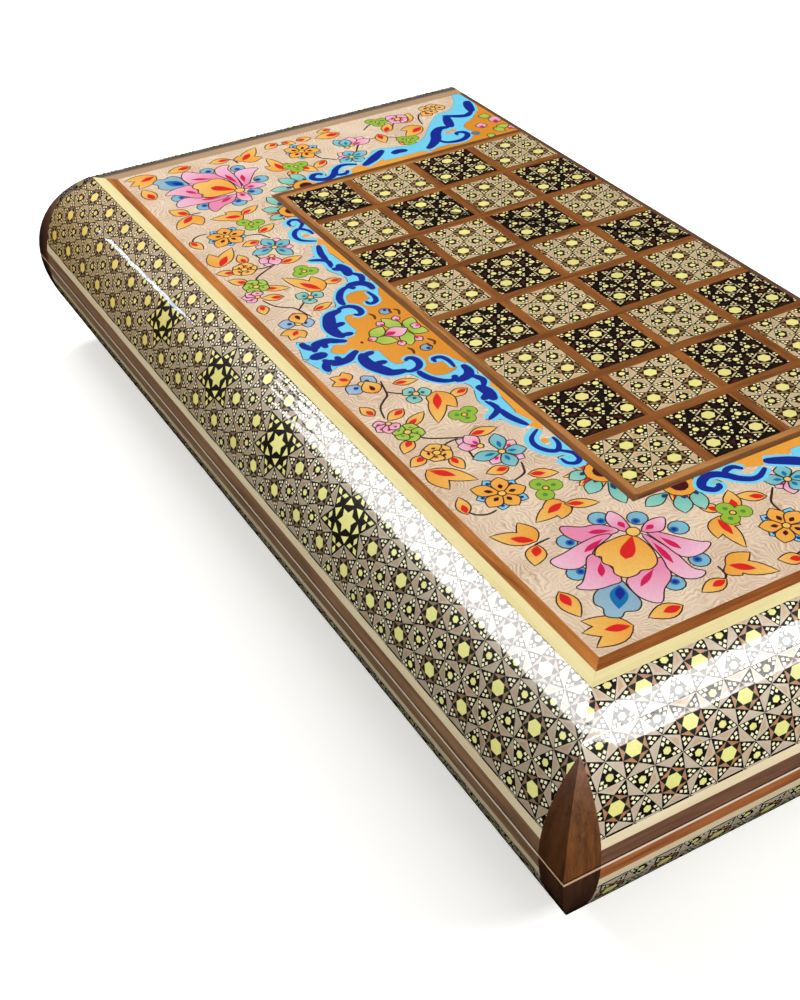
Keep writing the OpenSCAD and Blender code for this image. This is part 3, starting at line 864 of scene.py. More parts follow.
def smooth(points, closed=True):
    """A smooth curve through the points."""
    spots = [np.array(p, float) for p in points]
    n = len(spots)
    made = []
    for i in range(n if closed else n - 1):
        a, b, c, d = (spots[k % n] if closed else spots[min(max(k, 0), n - 1)] for k in range(i - 1, i + 3))
        bend, twist = 2 * a - 5 * b + 4 * c - d, 3 * b - a - 3 * c + d
        for k in range(CURVE_PARTS):
            t = k / CURVE_PARTS
            made.append(tuple(0.5 * (2 * b + (c - a) * t + bend * t * t + twist * t**3)))
    return made if closed else made + [tuple(spots[-1])]


def drop(base, tip, wide, blunt=0.4):
    """A petal from base to tip, widest at the share blunt of its length."""
    base, tip = np.array(base, float), np.array(tip, float)
    along = tip - base
    across = np.array([-along[1], along[0]]) / np.hypot(*along)
    power = math.log(0.5) / math.log(blunt)
    left, right = [], []
    for k in range(PETAL_PARTS + 1):
        t = k / PETAL_PARTS
        half = wide / 2 * math.sin(math.pi * t**power)
        middle = base + along * t
        left.append(tuple(middle + across * half))
        right.append(tuple(middle - across * half))
    return [left[0]] + right[1:-1] + [left[-1]] + left[-2:0:-1]


def disc(centre, r):
    return [polar(r, 360 * i / DISC_PARTS, centre) for i in range(DISC_PARTS)]


def stroke(points, wide, taper=0.35):
    """A brush stroke along a smooth curve. Its ends narrow to the share taper of its width."""
    line = np.array(smooth(points, False))
    slope = np.gradient(line, axis=0)
    across = np.c_[-slope[:, 1], slope[:, 0]] / np.maximum(np.hypot(*slope.T), 1e-6)[:, None]
    t = np.linspace(0, 1, len(line))
    half = (wide / 2 * (taper + (1 - taper) * np.sin(np.pi * t) ** 0.6))[:, None]
    return [tuple(p) for p in line - across * half] + [tuple(p) for p in (line + across * half)[::-1]]


def grown(outline, by):
    """The outline moved outwards."""
    spots = np.array(outline)
    before, after = np.roll(spots, 1, 0), np.roll(spots, -1, 0)
    slope = after - before
    area = np.sum(spots[:, 0] * after[:, 1] - spots[:, 1] * after[:, 0])
    outward = np.c_[slope[:, 1], -slope[:, 0]] / np.maximum(np.hypot(*slope.T), 1e-6)[:, None]
    return [tuple(p) for p in spots + outward * by * (1 if area > 0 else -1)]


class Painting:
    """Shapes in painting order, each with two colours and the line that one fades into the other along."""

    def __init__(self):
        self.shapes = []

    def fill(self, outlines, colour, fade=None, line=((0, 0), (1, 0)), ink=0.55):
        if ink:
            self.shapes += [(grown(o, ink), linear(*INK), linear(*INK), line) for o in outlines]
        self.shapes += [(o, linear(*colour), linear(*(fade or colour)), line) for o in outlines]

    def leaf(self, base, tips, wide, heart=0.58):
        """Orange leaf or blossom: a petal to each tip, and a red heart over a share of the first."""
        self.fill([drop(base, tip, wide, 0.45) for tip in tips], ORANGE, AMBER, (base, tips[0]))
        base, way = np.array(base, float), np.array(tips[0], float) - np.array(base, float)
        self.fill([drop(base + 0.04 * way, base + heart * way, 0.52 * wide, 0.5)], SCARLET, ink=0)

    def flower(self, centre, tips, wide, colours, spot, heart):
        """A petal to each tip round an amber eye. heart is where each petal's spot starts and ends."""
        middle = np.array(centre, float)
        for tip in tips:
            way = np.array(tip, float) - middle
            self.fill([drop(middle, tip, wide, 0.6)], *colours, (centre, tip))
            a, b = (tuple(middle + way * share) for share in heart)
            self.fill([drop(a, b, 0.3 * wide, 0.5)], spot, ink=0)
        self.fill([disc(centre, 0.2 * wide)], AMBER)

    def clover(self, lobes):
        """Three green lobes with darker middles round an amber eye."""
        r = 3.4
        middle = tuple(sum(p[k] for p in lobes) / len(lobes) for k in (0, 1))
        self.fill([disc(p, r) for p in lobes], LEAF, ink=0.35)
        self.fill([disc(p, 0.3 * r) for p in lobes], MOSS, ink=0)
        self.fill([disc(middle, 0.28 * r)], AMBER)

    def petal(self, outline, dart):
        """A pink petal that pales outwards, with a dart of magenta from its root."""
        self.fill([smooth(outline)], PINK, ROSE, (dart[0], outline[0]))
        self.fill([drop(*dart, 2.6, 0.6)], MAGENTA, ink=0)

    def scroll(self, paths, halo=2.0, bold=1.0):
        """Dark blue curls with a pale blue edge, from [(points, width)]. bold widens the curls."""
        for points, wide in paths:
            self.fill([stroke(points, bold * wide + 2 * halo, 0.75)], SKY, ink=0)
        for points, wide in paths:
            self.fill([stroke(points, bold * wide)], NAVY, ink=0)


def palmette(art):
    """The large pink flower in the corner, its darts and the blue petals behind it."""
    for spot, way, core in (((308, -8), (304, -5), (309, -9.5)), ((320, 1), (320, 4), (320, -1)),
                            ((338, -4), (341, -1), (337.5, -4.5)), ((343.5, -19), (348, -19.5), (343, -18.5)),
                            ((301, -20), (296.5, -19), (302.5, -20)),
                            ((306, -37), (302.5, -40), (307, -36.5)), ((322, -44), (322, -48), (322, -42.5))):
        art.fill([disc(spot, 3.6)], PALE_BLUE, (112, 190, 214), (core, way))
        art.fill([disc(core, 1.7)], OCEAN, ink=0)
        art.fill([disc(core, 0.9)], NAVY, ink=0)
    lobed = [(332, -34), (338, -34), (345, -34.5), (348, -38), (346.5, -42), (348, -45), (345, -48.5),
             (341.5, -47), (338, -48), (334, -45), (332.5, -40)]
    art.fill([smooth(lobed)], PALE_BLUE, (150, 182, 200), ((338, -36), (345, -47)))
    art.fill([drop((334.5, -35.5), (344.5, -43), 6.4, 0.45)], OCEAN, ink=0)
    art.fill([drop((335.5, -36), (341, -40), 3.4, 0.45)], NAVY, ink=0)
    petals = (([(300, -15), (300.5, -13.5), (305, -12.5), (312, -14), (312, -16), (308, -18.5), (303, -18)],
               ((310.5, -15.2), (306, -15))),
              ([(310, -18), (304, -22), (302, -28), (298, -34), (302, -35.5), (307, -34), (310, -31),
                (310.5, -24)], ((309, -20), (305.5, -28))),
              ([(312, -48), (311, -42), (309.5, -34), (309, -26), (311, -22), (314, -31), (318, -36),
                (320, -42), (317, -47)], ((311, -25), (314, -35.5))),
              ([(328.5, -48.5), (327, -45), (322, -40), (317, -36), (318, -33), (332, -33), (333, -38),
                (332, -44)], ((321, -33.5), (328, -38))),
              ([(349, -29), (344, -24), (340, -18), (333, -15), (330, -16), (333, -30), (337, -33),
                (344, -33)], ((333.5, -20), (339, -30))),
              ([(345.5, -10), (344, -6.5), (340, -9), (330, -9), (316, -12), (330, -14), (337, -16),
                (343, -14.5)], ((321, -11.6), (335, -12.8))),
              ([(335.5, -4), (335, 1), (332.5, 5), (330, 2), (325, -2), (318, -7), (316, -10), (325, -9),
                (333, -8)], ((320.5, -8), (330, -5.5))),
              ([(312.5, 0), (311.5, -6), (315, -11), (318, -6), (317, -3)], ((315, -9.8), (314, -5.5))))
    for outline, dart in petals:
        art.petal(outline, dart)
    heart = [(314, -17), (318, -14.5), (325, -14.5), (331, -17), (333, -21), (332, -24.5), (333, -27),
             (332.5, -31), (329, -33), (325.5, -31.5), (322, -33), (319, -31.5), (317.5, -33), (314.5, -30),
             (313.5, -25)]
    art.fill([smooth(heart)], ORANGE, AMBER, ((316, -16), (330, -31)))
    art.fill([drop((324.5, -25.5), (315, -15.5), 5.4, 0.32)], SCARLET, ink=0)
    art.fill([disc((313.5, -14), 2.3)], AMBER)


def frame_corner(art):
    """Blue-green petals and half rosettes round the corner of the squares' frame."""
    for tips, middle in (([(266, -10), (273.5, -16), (281, -14), (287, -10)], (278, -3)),
                         ([(307, 27), (314, 19), (313, 12), (307, 9)], (300.5, 17))):
        for tip in tips:
            art.leaf(middle, [tip], 5.0, 0.9)
    for base, tip, wide, heart in (((275, -5), (276, -15), 6, (275.6, -9)),
                                   ((280, -4.5), (287, -14), 6.4, (281.8, -7.5)),
                                   ((284, -3.5), (298.5, -6), 5.5, (288.5, -4)),
                                   ((303, 20), (316.5, 16), 6, (307, 19.4)),
                                   ((303, 15), (314.5, 8.5), 6.6, (306.6, 14)),
                                   ((301.5, 11), (304, -1), 5.6, (302.6, 8)),
                                   ((270, -4), (262, -10.5), 5, (268, -6)),
                                   ((302, 24), (309, 31.5), 5, (304, 26))):
        art.fill([drop(base, tip, wide, 0.6)], TEAL, PALE_TEAL, (base, tip))
        base, heart = np.array(base), np.array(heart)
        art.fill([drop(base * 0.7 + heart * 0.3, heart * 1.35 - base * 0.35, 2.2, 0.6)], DEEP_OCEAN, ink=0)
    for middle, r in (((278, -2), 6.5), ((300, 17), 6.5)):
        art.fill([disc(middle, r)], ORANGE)
        art.fill([disc(middle, 0.55 * r)], MAROON, ink=0)


def vines(art):
    """Fine stems between the flowers."""
    for points in ([(301, -41), (301.5, -47), (303, -49)], [(344, -1), (349, -1.5), (351, -4)],
                   [(232, -33), (228, -41), (224, -47), (218, -50)], [(231, -36), (231.5, -41), (233, -45)],
                   [(234.5, -37), (240, -37), (246, -38)],
                   [(257, -24), (261, -25.5), (264, -27.5), (266, -34)],
                   [(277.5, -48), (278, -52), (276, -56), (272, -58)],
                   [(179, -41.5), (185, -43), (190, -44.5), (193, -48), (197, -51.5), (204, -53.5)],
                   [(187, -44), (191, -40), (194, -36)], [(319, 45), (322, 42), (326, 38.5), (332, 38)],
                   [(289, -22), (292, -27), (290, -34)], [(345, 36), (352, 30), (354, 20)],
                   [(322, 58), (330, 64), (333, 72)], [(333, 72), (331, 80), (326, 86)],
                   [(340, 90), (346, 95), (350, 100)], [(345, 75), (350, 82), (350, 90)],
                   [(334, 106), (342, 108), (348, 112)]):
        art.fill([stroke(points, 0.95, 0.7)], INK, ink=0)


def meadow(art):
    """Leaves, buds and small flowers outside the scrolls."""
    leaves = (((351, -3), [(352, -14)], 6), ((354, -24), [(353, -37)], 7),
              ((353.5, -44), [(348, -60), (356, -60), (343, -57)], 7), ((327, -55), [(341, -56)], 7),
              ((302, -47), [(311, -54)], 7), ((300, -46), [(289.5, -58.5), (288, -46)], 7),
              ((286, -25), [(291, -40), (285, -33), (294, -31)], 6.5), ((287.5, -25), [(293, -14)], 5),
              ((265, -26), [(270, -16)], 5.5), ((231.5, -31), [(232.5, -19.5)], 5.5),
              ((257.5, -30), [(256.5, -39)], 5.5), ((274, -58.5), [(264, -56)], 5),
              ((240, -45), [(249.5, -44.5)], 5), ((243, -57), [(258, -44), (257.5, -56)], 7),
              ((234.5, -53), [(238, -61)], 5.5), ((222, -52), [(229, -59)], 5.5),
              ((202.5, -14.5), [(204, -23.5)], 5), ((198, -26), [(218, -37), (212, -25), (206, -32)], 7),
              ((183.5, -38), [(186, -28)], 4.5), ((200, -56), [(192, -58)], 5),
              ((202, -44), [(206, -53)], 5.5), ((214, -49), [(208, -38)], 5),
              ((172, -52), [(166, -58), (172, -60), (165, -52)], 5), ((322, 39.5), [(316, 30)], 5.5),
              ((322.5, 16), [(341, 14), (330, 20.5), (332, 9)], 6),
              ((345, 2), [(357, 15), (352, 3), (344, 13)], 7), ((356, 27), [(352, 19)], 6),
              ((349, 62), [(350, 48)], 8), ((353, 38), [(352, 46)], 6), ((323, 24.5), [(312, 30)], 6),
              ((336, 79), [(324, 77)], 6), ((332, 104), [(324, 90), (334, 92)], 7.5),
              ((322, 84), [(314, 89)], 6), ((336, 84), [(346, 91)], 6), ((341, 99), [(352, 107)], 7),
              ((347, 118), [(344, 112)], 7), ((355, 30), [(350, 36)], 5), ((320, 20), [(313, 15)], 5),
              ((357, 60), [(356, 52)], 5))
    for base, tips, wide in leaves:
        art.leaf(base, tips, wide)
    for lobes in ([(275.5, -22), (272.5, -26.5), (279, -28)], [(217, -22.5), (221, -25.5), (217, -28)],
                  [(324.5, 26.5), (320, 22), (325.5, 20)], [(321, 92), (317, 88), (323, 87)],
                  [(351, 90), (353, 84), (348, 86)]):
        art.clover(lobes)
    art.flower((217, -50.5), [(213, -46), (221, -45), (224, -51), (219.5, -56), (212, -55)], 6.5,
               (LEAF, (176, 200, 80)), MOSS, (0.45, 0.65))
    art.flower((235, -48), [(234.5, -42), (240.5, -44.5), (239.5, -51.5), (233, -54), (229, -47.5)], 7,
               (ORANGE, AMBER), MAROON, (0.4, 0.62))
    for middle, tips, blues in (((270, -41),
                                 [(271, -31.5), (279, -39.5), (274.5, -49.5), (262, -49.5), (261, -37)],
                                 [(265.5, -33), (277.5, -34.5), (260, -43), (278.5, -46), (268.5, -51)]),
                                ((339, 34), [(328.5, 35.5), (334.5, 25.5), (346, 27), (335, 43), (347, 39)],
                                 [(332, 42), (330, 30), (340.5, 25.5), (349, 32.5), (341, 44)])):
        art.flower(middle, blues, 5.6, (PALE_BLUE, SKY), NAVY, (0.66, 0.86))
        art.flower(middle, tips, 6.6, (ORANGE, (240, 170, 70)), MAROON, (0.28, 0.6))
    for middle, teals, pinks in (((247.5, -26.5), [(236, -22.5), (250.5, -17.5), (258, -27.5), (246, -38.5)],
                                  [(243.5, -18.5), (255.5, -21.5), (252.5, -34)]),
                                 ((318, 53), [(310, 56), (314, 45), (326, 54), (320, 63)],
                                  [(311, 50), (320, 46), (326, 49)])):
        art.flower(middle, pinks, 5.4, (PINK, ROSE), MAGENTA, (0.4, 0.7))
        art.flower(middle, teals, 6.2, (TEAL, HAZE), OCEAN, (0.22, 0.62))
    art.flower((240, -31.5), [(232, -37.5), (236, -39), (231, -33)], 6, (PINK, ROSE), MAGENTA, (0.15, 0.5))
    art.flower((331, 60), [(338, 70), (333, 72), (341, 64)], 6.6, (PINK, ROSE), MAGENTA, (0.15, 0.5))
    art.flower((330, 57), [(342, 55), (340, 60)], 6, (TEAL, HAZE), OCEAN, (0.3, 0.7))
    art.flower((195, -34), [(196, -27.5), (190, -37), (200.5, -38.5)], 6.2, (TEAL, PALE_TEAL), (14, 80, 120),
               (0.3, 0.6))
    art.flower((208, -54), [(206, -60), (211, -60.5), (214, -57), (213, -52)], 5, (PINK, ROSE), MAGENTA,
               (0.5, 0.8))
    art.flower((348, 98), [(354, 94), (350, 104), (343, 101), (345, 93)], 7.5, (PINK, ROSE), MAGENTA,
               (0.3, 0.6))
    art.flower((350, 122), [(345, 117), (354, 115), (356, 124), (349, 129)], 7, (ORANGE, AMBER), NAVY,
               (0.4, 0.7))
    art.flower((177, -49), [(174.5, -42.5), (180.5, -57)], 7.5, (PALE_BLUE, (160, 190, 220)), NAVY,
               (0.3, 0.6))
    art.leaf((186, -47), [(176, -47)], 8, 0.1)
    art.fill([drop((184, -47), (179.5, -47), 2.2)], MAROON, ink=0)


def cartouches(art):
    """Orange half cartouches in the middle of the front and at the hinge edge, with blue scrolls round
    them."""
    art.fill([[(200, -3), (240, -3), (244, -5), (238, -8.5), (215, -7), (204, -6)]], ORANGE, ink=0)
    art.fill([[(299, 40), (303, 42), (306.5, 50), (307, 60), (303.5, 75), (303.5, 95), (299, 95)]], ORANGE,
             ink=0)
    outer = [(148, -62), (155, -60), (164, -57.5), (162, -54), (160, -48), (162, -43), (167, -42), (172, -38),
             (178, -33), (182, -29), (190, -26), (196, -20), (198, -15), (203, -13), (213, -16.5), (222, -15),
             (226, -21), (230, -15), (238, -10)]
    front_halo = grown(smooth(outer, False) + [(226, -6), (204, -4.5), (183, -2), (148, -2)], -1.0)
    art.fill([front_halo + [(140, -8)]], SKY, ink=0.35)
    inner = [(183, -4), (175, -8), (173, -12), (175, -17), (180, -17), (181, -13), (185, -10), (187, -14),
             (186.5, -18), (183, -22), (178, -21), (172, -19), (169, -23), (170, -28), (163, -29), (157, -29),
             (154, -34), (152, -38), (150.5, -44), (147.5, -47)]
    art.fill([grown(smooth(inner, False) + [(140, -40), (140, -2), (200, -2)], 1.5)], DEEP_ORANGE, ORANGE,
             ((170, -8), (150, -50)), ink=0.15)
    side = [(304, 66), (316, 64), (319, 70), (316, 79), (314, 88), (318, 97), (328, 106), (336, 113),
            (342, 121), (343, 129), (352, 137), (362, 141)]
    art.fill([smooth(side, False) + [(362, 148), (299, 148), (299, 92), (304, 88)]], SKY, ink=0.15)
    inside = [(303.5, 92), (303, 104), (303.5, 117), (309, 123.5), (318, 123), (323, 127), (326, 133),
              (334, 140), (348, 147)]
    art.fill([smooth(inside, False) + [(299, 148), (299, 92)]], DEEP_ORANGE, ink=0.15)
    art.scroll([
        ([(214, -13), (222, -12), (226.5, -19)], 3.0), ([(222, -11.5), (229, -11), (238, -8)], 3.4),
        ([(242, -6.5), (246, -12), (251, -13.5), (256, -11.5), (258, -8), (254, -5), (249.5, -4.7)], 2.6),
        ([(257, -9), (260, -6), (263, -3.8), (267, -4.2), (268.5, -7), (266.5, -9.8), (263, -10)], 2.4)])
    art.fill([disc((250, -8.6), 1.7)], ORANGE, ink=0)
    art.scroll([([(186, -10), (180, -9.5), (176, -11), (175.5, -14.2), (178.5, -14.7)], 1.8),
                ([(186, -6.5), (191, -6.5), (194.5, -9), (195, -14), (191, -13.5)], 3.2),
                ([(194, -9), (197, -6.5), (201, -5.5), (205, -8)], 2.2),
                ([(203, -10), (209, -8.5), (216, -9.5)], 3.6), ([(210, -9), (213.5, -13.5)], 2.6),
                ([(195, -13), (193, -19), (188, -23), (183, -24.5), (180.5, -24)], 2.4),
                ([(171, -25), (169.5, -23), (171, -21), (175, -20.8), (178.2, -23), (179, -27), (177, -30)],
                 2.2), ([(177.5, -28), (176, -34), (172, -36.5), (166, -39), (160, -39), (156, -37)], 4.2),
                ([(166, -38), (167, -31.5)], 2.6), ([(158, -38), (157, -32.5)], 2.4),
                ([(152.5, -38), (155, -42), (157, -45), (157, -50), (155, -53), (158, -55.5), (161.5, -55.5)],
                 3.4), ([(157, -48), (152, -48)], 2.2), ([(155, -52.5), (151.5, -54)], 2.0),
                ([(148, -50), (148, -58)], 4.0)], 1.1, 1.45)
    art.scroll([([(316.5, 71), (312, 65), (308.5, 60), (304.5, 53)], 4.0),
                ([(308, 51), (311, 46), (311, 42), (308, 38), (305, 36), (302, 33), (301, 29), (303, 25),
                  (306, 23.5), (309, 26), (308.5, 29), (306.5, 29.5)], 2.8),
                ([(304.5, 43.5), (301.5, 41), (302, 37), (305, 35)], 2.0),
                ([(309, 73), (310.5, 77), (309, 82)], 3.6)], 1.3, 1.4)
    art.scroll([([(304.5, 92), (308, 97), (313, 102), (320, 106), (324, 111), (323, 116)], 4.2),
                ([(313, 102), (307, 104), (304.6, 109), (305, 115), (309, 119.5), (313, 119), (314, 115.5),
                  (311, 114.5)], 2.4), ([(322, 117), (328, 119), (337, 122.5)], 4.0),
                ([(338, 121), (333, 128), (331.5, 133), (335, 138)], 3.0),
                ([(334, 138), (342, 140.5), (349, 143.5)], 4.0)], 1.3, 1.4)
    for middle in ((317, 112), (318, 116)):
        art.fill([disc(middle, 1.8)], ORANGE, ink=0)
    for base, tip, wide in (((148, -11), (155, -4.5), 6), ((149, -13), (161, -16.5), 6.5),
                            ((148.5, -28), (155, -19.5), 6.5), ((308, 137), (308, 145), 5),
                            ((309, 136), (302, 139), 5), ((322, 139), (328, 141.5), 6),
                            ((303, 131), (299, 128), 4)):
        art.fill([drop(base, tip, wide, 0.5)], LEAF, (186, 206, 96), (base, tip))
    for base, tip, wide in (((148, -22), (148, -11), 8), ((147.5, -5), (149.5, -8.5), 3.6),
                            ((156, -11.5), (160, -10.5), 3.4), ((155.5, -18.5), (159.5, -19.5), 3.4),
                            ((148, -30), (148, -26), 3.6), ((314, 141), (322, 144.5), 7),
                            ((312, 131), (318, 133), 6), ((303, 143), (305, 147), 5)):
        art.fill([drop(base, tip, wide, 0.5)], PINK, ROSE, (base, tip))
        art.fill([drop(base, tuple(0.5 * (a + b) for a, b in zip(base, tip)), 0.4 * wide, 0.5)], MAGENTA,
                 ink=0)
    art.fill([disc((166, -12), 2.4)], PALE_BLUE)
    art.fill([disc((167, -11.5), 1.0)], NAVY, ink=0)
    art.fill([disc((308, 124), 2.6)], (110, 110, 120), ink=0)
    for points in ([(160, -8), (163.5, -6.5), (166, -8)], [(163, -10), (165.5, -10), (167, -9)],
                   [(162, -19), (165, -18), (168, -19)], [(146, -34), (149, -33)]):
        art.fill([stroke(points, 1.4)], (96, 52, 22), ink=0)


def painted_half():
    """The right half of the painted border as a flat sheet, in the board's own millimetres."""
    low, high = (np.array(c) * 1000 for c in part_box("lid_painted_panel"))
    frame_low, frame_high = (np.array(c) * 1000 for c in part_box("lid_outer_frame"))
    left, right = CENTRE, high[0] + CENTRE
    front, back = low[1] - SQUARES_FRONT, high[1] - SQUARES_FRONT
    hole_x, hole_y = frame_high[0] + GLUE + CENTRE, frame_low[1] - GLUE - SQUARES_FRONT
    ground = [(left, front), (right, front), (right, back), (hole_x, back), (hole_x, hole_y), (left, hole_y)]
    art = Painting()
    vines(art)
    meadow(art)
    palmette(art)
    frame_corner(art)
    cartouches(art)
    shapes = [(ground, (1, 1, 1), (1, 1, 1), ((0, 0), (1, 0)))] + art.shapes
    points, tris, owners = cut_up(shapes, ground=True)
    kinds = (owners > 0).astype(int)
    tints = []
    for tri, owner in zip(tris, owners):
        _, first, last, (start, end) = shapes[owner]
        way = np.array(end, float) - np.array(start, float)
        share = np.clip((points[tri] - start) @ way / (way @ way), 0, 1)[:, None]
        tints.append(np.array(first) * (1 - share) + np.array(last) * share)
    return points - [CENTRE, -SQUARES_FRONT], tris, kinds, tints


def pearl_ground():
    """Mother-of-pearl paint combed into fine flowing lines, paler on their crests and browner in their
    pits."""
    made, tree, place = new_material("pearl_ground")
    inputs = {"Vector": place, "Scale": 0.18, "Distortion": 38.0, "Detail": 3.0, "Detail Scale": 0.3,
              "Detail Roughness": 0.6}
    combs = [add(tree, "ShaderNodeTexWave", {"bands_direction": way}, inputs) for way in ("X", "Y")]
    along, across = (comb.outputs["Fac"] for comb in combs)
    turn = ranged(tree, noise(tree, place, 0.07, 2.0, 0.6, 1.0), 0.44, 0.56)
    rest = calc(tree, "SUBTRACT", 1.0, turn)
    waves = calc(tree, "ADD", calc(tree, "MULTIPLY", along, turn), calc(tree, "MULTIPLY", across, rest))
    broad = noise(tree, place, 0.05, 2.0)
    patchy = ranged(tree, noise(tree, place, 0.16, 3.0, 0.6), 0.35, 0.65)
    crest, pit = ranged(tree, waves, 0.7, 1.0), ranged(tree, waves, 0.3, 0.0)
    colour = ramp(tree, broad, ((0.35, linear(215, 186, 157)), (0.65, linear(231, 207, 179))))
    for mask, most, least, shade in ((crest, 0.35, 0.2, (246, 234, 220)), (pit, 0.5, 0.12, (168, 132, 112))):
        strength = calc(tree, "MULTIPLY", mask, calc(tree, "MULTIPLY_ADD", patchy, most, least))
        colour = blend(tree, strength, colour, linear(*shade))
    surface(tree, place, colour, 0.35, waves, 0.0001)
    return made


pearl = pearl_ground()
paint = tinted("border_paint", 0.4, 0.07, 0.8, depth=0.00005, painted_shade=False)


def mirrored(sheet):
    """The sheet turned over from right to left."""
    made = Inlay()
    made.points = [(-x, y) for x, y in sheet.points]
    made.faces = [f[::-1] for f in sheet.faces]
    made.kinds = sheet.kinds
    made.tints = [t[::-1] for t in sheet.tints]
    return made


right_border = Inlay()
right_border.take(*painted_half())
BORDER_SHEETS = [(half, face_curve, FACE_T, 250) for half in (right_border, mirrored(right_border))]
RIM_SHEETS = [(sheet, rim_curve, RIM_BAND_T, 120) for sheet in rim_sheets()]

for body, upside in (("lid", False), ("base", True)):
    make_piece(f"{body}_rim_inlay", RIM_SHEETS, body, INLAY, [f"{body}_rim_band"], upside)
    for side, sheet in SIDE_SHEETS.items():
        nodes = [f"{body}_{side}_veneer"]
        make_piece(f"{body}_{side}_inlay", [sheet], body, INLAY, nodes, upside)
    make_piece(f"{body}_painting", BORDER_SHEETS, body, [pearl, paint, back_wood],
               [f"{body}_painted_panel"], upside)
    for tone, slot in (("light", "star_inlay"), ("dark", "dark_star_inlay")):
        swap = upside != (tone == "dark")
        chosen = [(tiles[c, r, tone], face_curve, FACE_T, 200)
                  for c in range(8) for r in range(4) if ((c + r) % 2 == 0) == swap]
        make_piece(f"{body}_{tone}_stars", chosen, body, INLAY, [f"{body}_{tone}_squares"], upside)

# Woods of the carried-over nodes
WALNUT_TONES = (136, 80, 40), (74, 40, 18)
walnut = wood("walnut", *WALNUT_TONES)
lining_wood = wood("lining_wood", *WALNUT_TONES, coat_rough=SATIN)
# Painted light on posts and edgings: their end tints make the ends lighter or darker than the front as they
# are lit, their parting lines are a painted shadow under the lid and a painted highlight on the base's rim,
# and the posts get painted shade at the far corner
lid_post = wood("lid_post_wood", (104, 60, 22), (56, 30, 10), "z", 0.45, 0.7, (2.0, 2.1, 2.6), painted_shade=True,
                painted_parting_line=(0.15, 0.7, (60, 34, 22)))
base_post = wood("base_post_wood", (90, 54, 34), (52, 30, 20), "z", 0.4, 0.7,
                 painted_parting_line=(-1.2, -0.15, (236, 196, 150)), painted_shade=True)
lid_edging = wood("lid_edging_wood", (166, 125, 90), (107, 77, 54), "bands", 0.4, 0.7, (0.78, 0.68, 0.72),
                  painted_parting_line=(0.15, 0.7, (60, 38, 28)))
base_edging = wood("base_edging_wood", (175, 138, 101), (120, 87, 60), "bands", 0.4, 0.7, (1.65, 0.95, 0.5),
                   painted_parting_line=(-1.2, -0.15, (250, 238, 214)))
# Colours along the left end, from its edge inwards: the first is painted shade on the outer part of the cream
# line, and brown and tan lie farther in
FAR_EDGE_SHADE, FAR_BROWN, FAR_TAN = (84, 78, 72), (128, 104, 84), (178, 146, 114)
# The border's end tint is partly painted shade on the end strips and partly their own darker tone
border = wood("border_wood", (206, 128, 54), (122, 66, 22), "bands", 0.5, 0.62, (0.66, 0.56, 0.46),
              [(0.0, FAR_TAN)])
strip = wood("strip_wood", (158, 96, 40), (92, 50, 18), "lattice", 0.5, 0.7)
hinge_edging = wood("hinge_edge_wood", (112, 78, 56), (70, 48, 36), pore=0.4)
frame_light = wood("frame_light_wood", (204, 140, 74), (124, 80, 38), "bands", 0.45, 0.7)
frame_dark = wood("frame_dark_wood", (148, 94, 50), (78, 46, 23), "bands", 0.5, 0.7)
cream = wood("cream_wood", (246, 234, 180), (232, 214, 150), "bands", 0.06,
             left=[(0.0, FAR_EDGE_SHADE), (FACE_EDGE + 2.6, FAR_BROWN), (FACE_EDGE + 4.0, FAR_TAN)])
side_cream = wood("side_cream_wood", (255, 242, 204), (240, 216, 172), "bands", 0.08)
dark_wood = wood("dark_wood", (70, 44, 28), (38, 22, 14), coat_rough=SATIN)
floor_wood = wood("floor_wood", (166, 110, 62), (120, 74, 38), coat_rough=SATIN)
point_cream = wood("point_cream_wood", (232, 214, 160), (208, 184, 124), pore=0.12, coat_rough=SATIN)
core = wood("core_board_wood", (206, 176, 132), (180, 148, 104), pore=0.2)


def brass_material():
    made, tree, place = new_material("brass")
    fine = noise(tree, scaled(tree, place, 0.4, 6.0, 6.0), 1.0, 3.0, 0.6)
    patina = noise(tree, place, 0.25, 3.0, 0.6)
    colour = ramp(tree, patina, ((0.3, (0.62, 0.42, 0.16)), (0.7, (0.84, 0.62, 0.28))))
    rough = ranged(tree, patina, 0.3, 0.7, 0.46, 0.36)
    surface(tree, place, colour, rough, fine, 0.00002, coat=0.0, metal=0.75)
    return made


brass = brass_material()
# Finish of the carried-over nodes by the end of their names. The rails are walnut.
FINISH = {
    "panel": core, "side_line": side_cream, "face_line": cream, "face_border": border,
    "hinge_edge": hinge_edging, "inner_frame": frame_light, "outer_frame": frame_dark, "square_strips": strip,
    "lining": lining_wood, "floor": floor_wood, "light_points": point_cream, "dark_points": dark_wood,
}
OWN_FINISH = {"lid_rim_edging": lid_edging, "base_rim_edging": base_edging, "lid_corner_posts": lid_post,
              "base_corner_posts": base_post}
for name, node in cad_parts.items():
    plain = OWN_FINISH.get(name) or FINISH.get(name.split("_", 1)[1], walnut)
    finish = brass if name.startswith("hinge_") else plain
    for k in range(len(node.material_slots)):
        node.material_slots[k].link = "OBJECT"
        node.material_slots[k].material = finish

